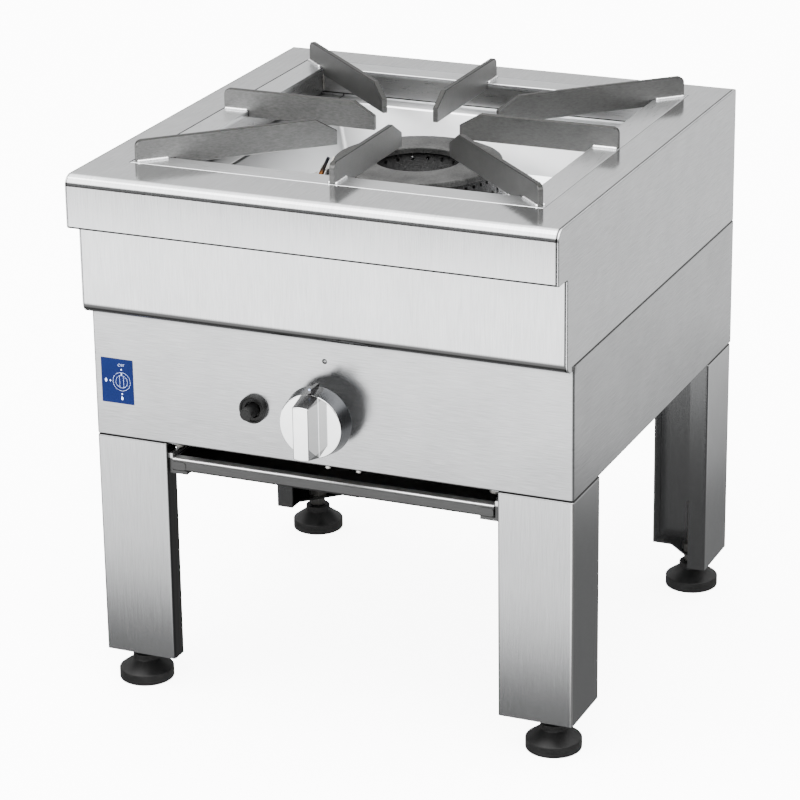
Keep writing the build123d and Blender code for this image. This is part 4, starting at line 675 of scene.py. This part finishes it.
def draw_thread(bm, crest, root, pitch, low, high, steps=20):
    """A screw thread round Z between two heights, in millimetres, open at both ends."""
    start = low - RUN_IN * pitch
    turns = int((high - low) / pitch) + SPARE_TURNS
    outline = ((root, 0), (crest, CREST_FROM), (crest, CREST_TO), (root, 1))
    tooth = [bm.verts.new((r * MM, 0, (start + part * pitch) * MM)) for r, part in outline]
    edges = [bm.edges.new(pair) for pair in zip(tooth, tooth[1:])]
    bmesh.ops.spin(bm, geom=tooth + edges, cent=(0, 0, 0), axis=(0, 0, 1), angle=2 * pi * turns,
                   dvec=(0, 0, pitch * MM / steps), steps=steps * turns)
    bmesh.ops.remove_doubles(bm, verts=bm.verts, dist=SHARED * MM)
    for height, outside in ((low, -1), (high, 1)):
        bmesh.ops.bisect_plane(bm, geom=bm.verts[:] + bm.edges[:] + bm.faces[:], dist=0.0001 * MM,
                               plane_co=(0, 0, height * MM), plane_no=(0, 0, outside), clear_outer=True)


print("a tooth is flat over", round(CREST_TO - CREST_FROM, 2), "of its pitch")

# %% Studs with a hexagon collar
STUD_R, STUD_ROOT, STUD_PITCH = 5.0, 4.3, 1.5
HEX_R, HEX_LOW, HEX_HIGH, HEX_CHAMFER = 14.0 / sqrt(3), 25.2, 33.8, 0.5
for leg in LEGS:
    low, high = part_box(f"foot_spindle_{leg}")
    bm = bmesh.new()
    draw_thread(bm, STUD_R, STUD_ROOT, STUD_PITCH, low.z / MM, high.z / MM)
    ends = [e for e in bm.edges if e.is_boundary]
    caps = bmesh.ops.holes_fill(bm, edges=ends, sides=0)["faces"]
    # The collar is turned as the solid's is: its longer side tells which way its corners point.
    collar_turn = radians(30 if high.x - low.x > high.y - low.y else 0)
    collar_place = Matrix.Translation((0, 0, (HEX_LOW + HEX_HIGH) / 2 * MM))
    collar = bmesh.ops.create_cone(
        bm, cap_ends=True, segments=6, radius1=HEX_R * MM, radius2=HEX_R * MM,
        depth=(HEX_HIGH - HEX_LOW) * MM, matrix=collar_place @ Matrix.Rotation(collar_turn, 4, "Z"))
    corners = list({e for v in collar["verts"] for e in v.link_edges})
    bmesh.ops.bevel(bm, geom=corners, offset=HEX_CHAMFER * MM, offset_type="OFFSET", affect="EDGES",
                    segments=2, profile=0.5, material=-1)
    axis = (low + high) / 2
    bmesh.ops.translate(bm, verts=bm.verts, vec=(axis.x, axis.y, 0))
    stud = finished(f"threaded_stud_{leg}", bm, f"spindle_{leg}", dull_zinc)
    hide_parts(f"foot_spindle_{leg}")
print("threaded stud", len(stud.data.polygons), "faces,", len(caps), "caps")

# %% [markdown]
# ## Gas inlet
# The hose screws onto a brass stub behind the stove. Its half-inch pipe thread is spun in the same way
# as the studs. The plain part is a profile that is spun round the axis, and bridges close the open rings
# between it and the thread, so the stub is one closed shell with a clear bore.

# %% Threaded inlet
INLET_CREST, INLET_ROOT, INLET_PITCH, INLET_THREAD = 10.4, 9.3, 1.81, 13.0
BORE_R, SOCKET_R, SHOULDER_R, SHOULDER, SOCKET = 6.0, 7.05, 14.0, 2.0, 10.0
low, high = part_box("gas_inlet")
start, end = low.y / MM, high.y / MM
seat = end - INLET_THREAD
bm = bmesh.new()
draw_thread(bm, INLET_CREST, INLET_ROOT, INLET_PITCH, seat, end, steps=40)
outline = ((BORE_R, end), (BORE_R, start + SOCKET), (SOCKET_R, start + SOCKET), (SOCKET_R, start),
           (INLET_CREST, start), (INLET_CREST, seat - SHOULDER), (SHOULDER_R, seat - SHOULDER),
           (SHOULDER_R, seat))
profile = [bm.verts.new((r * MM, 0, y * MM)) for r, y in outline]
edges = [bm.edges.new(pair) for pair in zip(profile, profile[1:])]
bmesh.ops.spin(bm, geom=profile + edges, cent=(0, 0, 0), axis=(0, 0, 1), angle=2 * pi, steps=48,
               use_merge=True)
bmesh.ops.remove_doubles(bm, verts=bm.verts, dist=SHARED * MM)
for height in (seat, end):
    rings = [e for e in bm.edges if e.is_boundary and abs(e.verts[0].co.z - height * MM) < 0.01 * MM]
    bmesh.ops.bridge_loops(bm, edges=rings)
open_edges = sum(e.is_boundary for e in bm.edges)
axis = (low + high) / 2
bmesh.ops.transform(bm, verts=bm.verts, matrix=Matrix.Translation((axis.x, 0, axis.z))
                    @ Matrix.Rotation(radians(-90), 4, "X"))
inlet = finished("threaded_inlet", bm, "stove", brass)
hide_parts("gas_inlet")
print("threaded inlet", len(inlet.data.polygons), "faces,", open_edges, "open edges")

# %% [markdown]
# ## Print on the label
# The plate shows the knob's positions: OFF at the top, the pilot on the left and the full flame at the
# bottom, round a drawing of the knob. The signs are a layer of white ink, so each is a flat outline that
# is filled and given the thickness of a few hundredths of a millimetre.

# %% Ink shapes
INK, LINE = 0.05, 0.16
bm = bmesh.new()


def ink_ring(middle, radius, width):
    """A ring of ink: a circle drawn inwards by its line width."""
    centre = Vector((*middle, 0)) * MM
    ring = bmesh.ops.create_circle(bm, segments=40, radius=radius * MM, matrix=Matrix.Translation(centre))
    verts, _ = drawn_out(bm, list({e for v in ring["verts"] for e in v.link_edges}))
    bmesh.ops.scale(bm, verts=verts, vec=[1 - width / radius] * 3, space=Matrix.Translation(-centre))


def ink_dot(middle, radius, tall=1.0):
    """A filled spot of ink, stretched upwards by tall."""
    spot = Matrix.Translation(Vector((*middle, 0)) * MM) @ Matrix.Diagonal((1, tall, 1, 1))
    bmesh.ops.create_circle(bm, cap_ends=True, segments=20, radius=radius * MM, matrix=spot)


def ink_bar(middle, width, tall):
    """A filled bar of ink."""
    spot = Matrix.Translation(Vector((*middle, 0)) * MM) @ Matrix.Diagonal((width * MM, tall * MM, 1, 1))
    bmesh.ops.create_grid(bm, x_segments=1, y_segments=1, size=0.5, matrix=spot)


print("ink is", INK, "mm thick")

# %% Drawing of the knob and dots of its positions
DIAL_X, DIAL_Y, SKIRT_R, FACE_R = 4.2, -0.2, 8.6, 5.8
GRIP_X, GRIP_TALL = 1.9, 10.4
POINTER_Y, POINTER_WIDTH, POINTER_TALL = DIAL_Y + 7.0, 0.9, 1.8
DOT_R, OFF_DOT_Y, PILOT_DOT_X, FLAME_DOT_Y = 0.7, 11.2, -6.9, -11.6
for radius in (SKIRT_R, FACE_R):
    ink_ring((DIAL_X, DIAL_Y), radius, LINE)
for side in (-GRIP_X, GRIP_X):
    ink_bar((DIAL_X + side, DIAL_Y), LINE, GRIP_TALL)
ink_bar((DIAL_X, POINTER_Y), POINTER_WIDTH, POINTER_TALL)
for middle in ((DIAL_X, OFF_DOT_Y), (PILOT_DOT_X, DIAL_Y), (DIAL_X, FLAME_DOT_Y)):
    ink_dot(middle, DOT_R)
print("dial", len(bm.faces), "faces")

# %% Spark, flame and word
# The pilot's sign is a small spark, the full flame's a drop that is pinched and bent at its tip.
SIGN_R, SPARK_X, SPARK_TALL, FLAME_Y, FLAME_TALL, PINCH, BEND = 1.1, -11.2, 1.5, -15.6, 1.7, 0.75, 0.35
WORD_SIZE, WORD_THIN, WORD_Y = 3.8, -0.09, 13.8
ink_dot((SPARK_X, DIAL_Y), SIGN_R, SPARK_TALL)
flame_from = set(bm.verts)
ink_dot((DIAL_X, FLAME_Y), SIGN_R, FLAME_TALL)
for vert in set(bm.verts) - flame_from:
    rise = max(0, (vert.co.y / MM - FLAME_Y) / 2)
    vert.co.x = (DIAL_X + (vert.co.x / MM - DIAL_X) * (1 - PINCH * rise) - BEND * rise) * MM
word = bpy.data.curves.new("off_word", "FONT")
word.body, word.size, word.align_x, word.offset = "OFF", WORD_SIZE * MM, "CENTER", WORD_THIN * MM
word_object = bpy.data.objects.new("off_word", word)
scene.collection.objects.link(word_object)
depsgraph = bpy.context.evaluated_depsgraph_get()
word_mesh = bpy.data.meshes.new_from_object(word_object.evaluated_get(depsgraph))
word_mesh.transform(Matrix.Translation((DIAL_X * MM, WORD_Y * MM, 0)))
bm.from_mesh(word_mesh)
bpy.data.objects.remove(word_object)
print("signs and word", len(bm.faces), "faces")

# %% Lay the print on the plate
label_low, label_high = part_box("control_label")
label_place = Vector(((label_low.x + label_high.x) / 2, label_low.y, (label_low.z + label_high.z) / 2))
bmesh.ops.transform(bm, verts=bm.verts,
                    matrix=Matrix.Translation(label_place) @ Matrix.Rotation(radians(90), 4, "X"))
bmesh.ops.recalc_face_normals(bm, faces=bm.faces)
ink_top = bmesh.ops.extrude_face_region(bm, geom=list(bm.faces))["geom"]
bmesh.ops.translate(bm, verts=[g for g in ink_top if isinstance(g, bmesh.types.BMVert)],
                    vec=(0, -INK * MM, 0))
label_print = finished("label_print", bm, "stove", white_print)
print("label print", len(label_print.data.polygons), "faces")

# %% [markdown]
# ## Small marks and wires
# A drop of white paint on the knob's pointer ridge shows where it is set. The pilot's hood is wrapped in
# a coil of bright wire. The dot starts from a sphere that is pressed flat, and the coil from a small
# circle that is spun round and carried forward at the same time.

# %% Pointer dot
POINTER_DOT, POINTER_DOT_R, PRESSED = KNOB + Vector((0, -16.4, 33.3)), 1.2, (1, 0.8, 0.7, 1)
bm = bmesh.new()
bmesh.ops.create_uvsphere(bm, u_segments=20, v_segments=12, radius=POINTER_DOT_R * MM,
                          matrix=Matrix.Translation(POINTER_DOT * MM) @ Matrix.Diagonal(PRESSED))
pointer_dot = finished("pointer_dot", bm, "knob", white_print, smooth=True)
print("pointer dot", len(pointer_dot.data.polygons), "faces")

# %% Pilot coil
PILOT, LEAN = Vector((-97.5, SUPPORT_Y, 430)), radians(26)
HOOD_R, WIRE_R, COIL_LOW, COIL_PITCH, COIL_TURNS, COIL_STEPS = 4.5, 0.55, 6.5, 1.5, 6, 20
COIL_R = HOOD_R + WIRE_R * 0.6
bm = bmesh.new()
bmesh.ops.create_circle(bm, cap_ends=True, segments=8, radius=WIRE_R * MM,
                        matrix=Matrix.Translation((COIL_R * MM, 0, COIL_LOW * MM))
                        @ Matrix.Rotation(radians(90), 4, "X"))
bmesh.ops.spin(bm, geom=bm.verts[:] + bm.edges[:] + bm.faces[:], cent=(0, 0, 0), axis=(0, 0, 1),
               dvec=(0, 0, COIL_PITCH * MM / COIL_STEPS), angle=2 * pi * COIL_TURNS,
               steps=COIL_STEPS * COIL_TURNS)
bmesh.ops.transform(bm, verts=bm.verts, matrix=Matrix.Translation(PILOT * MM) @ Matrix.Rotation(LEAN, 4, "Y"))
pilot_coil = finished("pilot_coil", bm, "stove", weld_metal, smooth=True)
print("pilot coil", len(pilot_coil.data.polygons), "faces")

# %% [markdown]
# ## Floor and light
# A picture of steel is really a picture of what the steel reflects. The room is bright above and in front,
# with a dark band at the horizon, which draws the white roll and the thin dark line of the rounded edge.
# The floor is a white table lit from below, which shows to the lens and not in the steel. On it lies a
# card that only reflections see: photographers use such cards to make the legs fall off towards the floor
# and to keep the front panels brighter than the sides.


# %% Floor
# Half sizes, heights and distances in the studio are in metres.
FLOOR_HALF, FLOOR_GLOW = 24.0, 8.0


def flat_square(name, half, height, material):
    """A square sheet that belongs to the studio, not to the stove."""
    bm = bmesh.new()
    bmesh.ops.create_grid(bm, x_segments=1, y_segments=1, size=half,
                          matrix=Matrix.Translation((0, 0, height)))
    mesh = bpy.data.meshes.new(name)
    bm.to_mesh(mesh)
    bm.free()
    mesh.materials.append(material)
    sheet = bpy.data.objects.new(name, mesh)
    scene.collection.objects.link(sheet)
    return sheet


floor_paint, _, _ = start_material("lit_white_table", Base_Color=linear("#F6F6F6"), Roughness=0.9,
                                   Emission_Color=linear("#FFFFFF"), Emission_Strength=FLOOR_GLOW)
floor = flat_square("floor", FLOOR_HALF, 0.0, floor_paint)
floor.visible_glossy = False
print("studio floor", floor.name)

# %% Front of the reflection card
# What the steel sees of the floor: dark round the feet, bright further in front, dark again far away.
CARD_NEAR, CARD_FAR = -0.25, -3.25
card_cloth, tree, _ = start_material("reflection_card")
_, place = object_axes(tree)
far_front = add(tree, "ShaderNodeMapRange", {"From Min": CARD_NEAR, "From Max": CARD_FAR},
                {"Value": place["Y"]})
front = add(tree, "ShaderNodeValToRGB", {"stops": (
    (0.016, "#404040"), (0.03, "#535353"), (0.044, "#727272"), (0.056, "#8B8B8B"), (0.07, "#A2A2A2"),
    (0.09, "#B4B4B4"), (0.108, "#B6B6B6"), (0.168, "#B3B3B3"), (0.20, "#D0D0D0"), (0.25, "#E8E8E8"),
    (0.316, "#F2F2F2"), (0.4, "#FCFCFC"), (0.42, "#FCFCFC"), (0.55, "#303030"))},
    {"Fac": far_front.outputs["Result"]})
right_of_lens = add(tree, "ShaderNodeMapRange",
                    {"From Min": 0.45, "From Max": 0.75, "interpolation_type": "SMOOTHSTEP"},
                    {"Value": place["X"]})
flagged = add(tree, "ShaderNodeMix", {"data_type": "RGBA", 7: linear("#404040")},
              {0: right_of_lens.outputs["Result"], 6: front.outputs["Color"]})
print("card in front", front.name)

# %% Back of the reflection card
CARD_HALF, CARD_HEIGHT, CARD_GLOW, BEHIND_STOVE = 9.0, 0.0004, 5.0, 0.45
aside = add(tree, "ShaderNodeMath", {"operation": "ABSOLUTE"}, {0: place["X"]})
beyond = add(tree, "ShaderNodeMath", {"operation": "SUBTRACT", 1: BEHIND_STOVE}, {0: place["Y"]})
away = add(tree, "ShaderNodeMath", {"operation": "MAXIMUM"}, {0: aside.outputs[0], 1: beyond.outputs[0]})
back_half = add(tree, "ShaderNodeMapRange", {"From Min": 0.2, "From Max": 0.55}, {"Value": place["Y"]})
far_side = add(tree, "ShaderNodeMapRange", {"From Min": 0.25, "From Max": 1.25}, {"Value": away.outputs[0]})
back = add(tree, "ShaderNodeValToRGB", {"stops": (
    (0.03, "#424242"), (0.12, "#606060"), (0.19, "#747474"), (0.29, "#888888"), (0.35, "#8A8A8A"),
    (0.43, "#888888"), (0.80, "#8C8C8C"))}, {"Fac": far_side.outputs["Result"]})
sides = add(tree, "ShaderNodeMix", {"data_type": "RGBA", 6: linear("#181818")},
            {0: back_half.outputs["Result"], 7: back.outputs["Color"]})
seen = add(tree, "ShaderNodeMix", {"data_type": "RGBA", "blend_type": "LIGHTEN", 0: 1.0},
           {6: flagged.outputs[2], 7: sides.outputs[2]})
glow = add(tree, "ShaderNodeEmission", {"Strength": CARD_GLOW}, {"Color": seen.outputs[2]})
tree.links.new(glow.outputs["Emission"], tree.nodes["Material Output"].inputs["Surface"])
card = flat_square("reflection_card", CARD_HALF, CARD_HEIGHT, card_cloth)
card.visible_camera = card.visible_diffuse = card.visible_shadow = card.visible_transmission = False
print("studio card", card.name)

# %% Room
ROOM_LIGHT = 7.0
world = bpy.data.worlds.new("white_room")
scene.world = world
world.use_nodes = True
sky = world.node_tree
ray = add(sky, "ShaderNodeTexCoord").outputs["Generated"]
toward = add(sky, "ShaderNodeSeparateXYZ", links={"Vector": ray}).outputs
level = add(sky, "ShaderNodeValToRGB", {"stops": (
    (0.0, "#303030"), (0.12, "#424242"), (0.30, "#7E7E7E"), (0.46, "#7C7C7C"), (0.62, "#B0B0B0"),
    (0.80, "#DCDCDC"))}, {"Fac": toward["Z"]})
before_stove = add(sky, "ShaderNodeMapRange", {"From Min": -0.10, "From Max": -0.50}, {"Value": toward["Y"]})
over_lens = add(sky, "ShaderNodeMapRange", {"From Min": 0.28, "From Max": 0.42}, {"Value": toward["Z"]})
softbox = add(sky, "ShaderNodeMix", {"data_type": "RGBA", 6: linear("#383838"), 7: linear("#FFFFFF")},
              {0: over_lens.outputs["Result"]})
room = add(sky, "ShaderNodeMix", {"data_type": "RGBA"},
           {0: before_stove.outputs["Result"], 6: level.outputs["Color"], 7: softbox.outputs[2]})
sky.links.new(room.outputs[2], sky.nodes["Background"].inputs["Color"])
sky.nodes["Background"].inputs["Strength"].default_value = ROOM_LIGHT
print("room", world.name)

# %% Lamp
LAMP_SIDE, LAMP_WATTS, LAMP_PLACE, LAMP_AIM = 2.2, 90, (-0.4, -0.6, 3.2), Vector((0, 0, 0.3))
box_light = bpy.data.lights.new("overhead_box", "AREA")
box_light.shape, box_light.size, box_light.energy = "SQUARE", LAMP_SIDE, LAMP_WATTS
box_holder = bpy.data.objects.new("overhead_box", box_light)
scene.collection.objects.link(box_holder)
box_holder.location = LAMP_PLACE
box_holder.rotation_euler = (box_holder.location - LAMP_AIM).to_track_quat("Z", "Y").to_euler()
box_holder.visible_camera = False
print("lamp", box_holder.name)
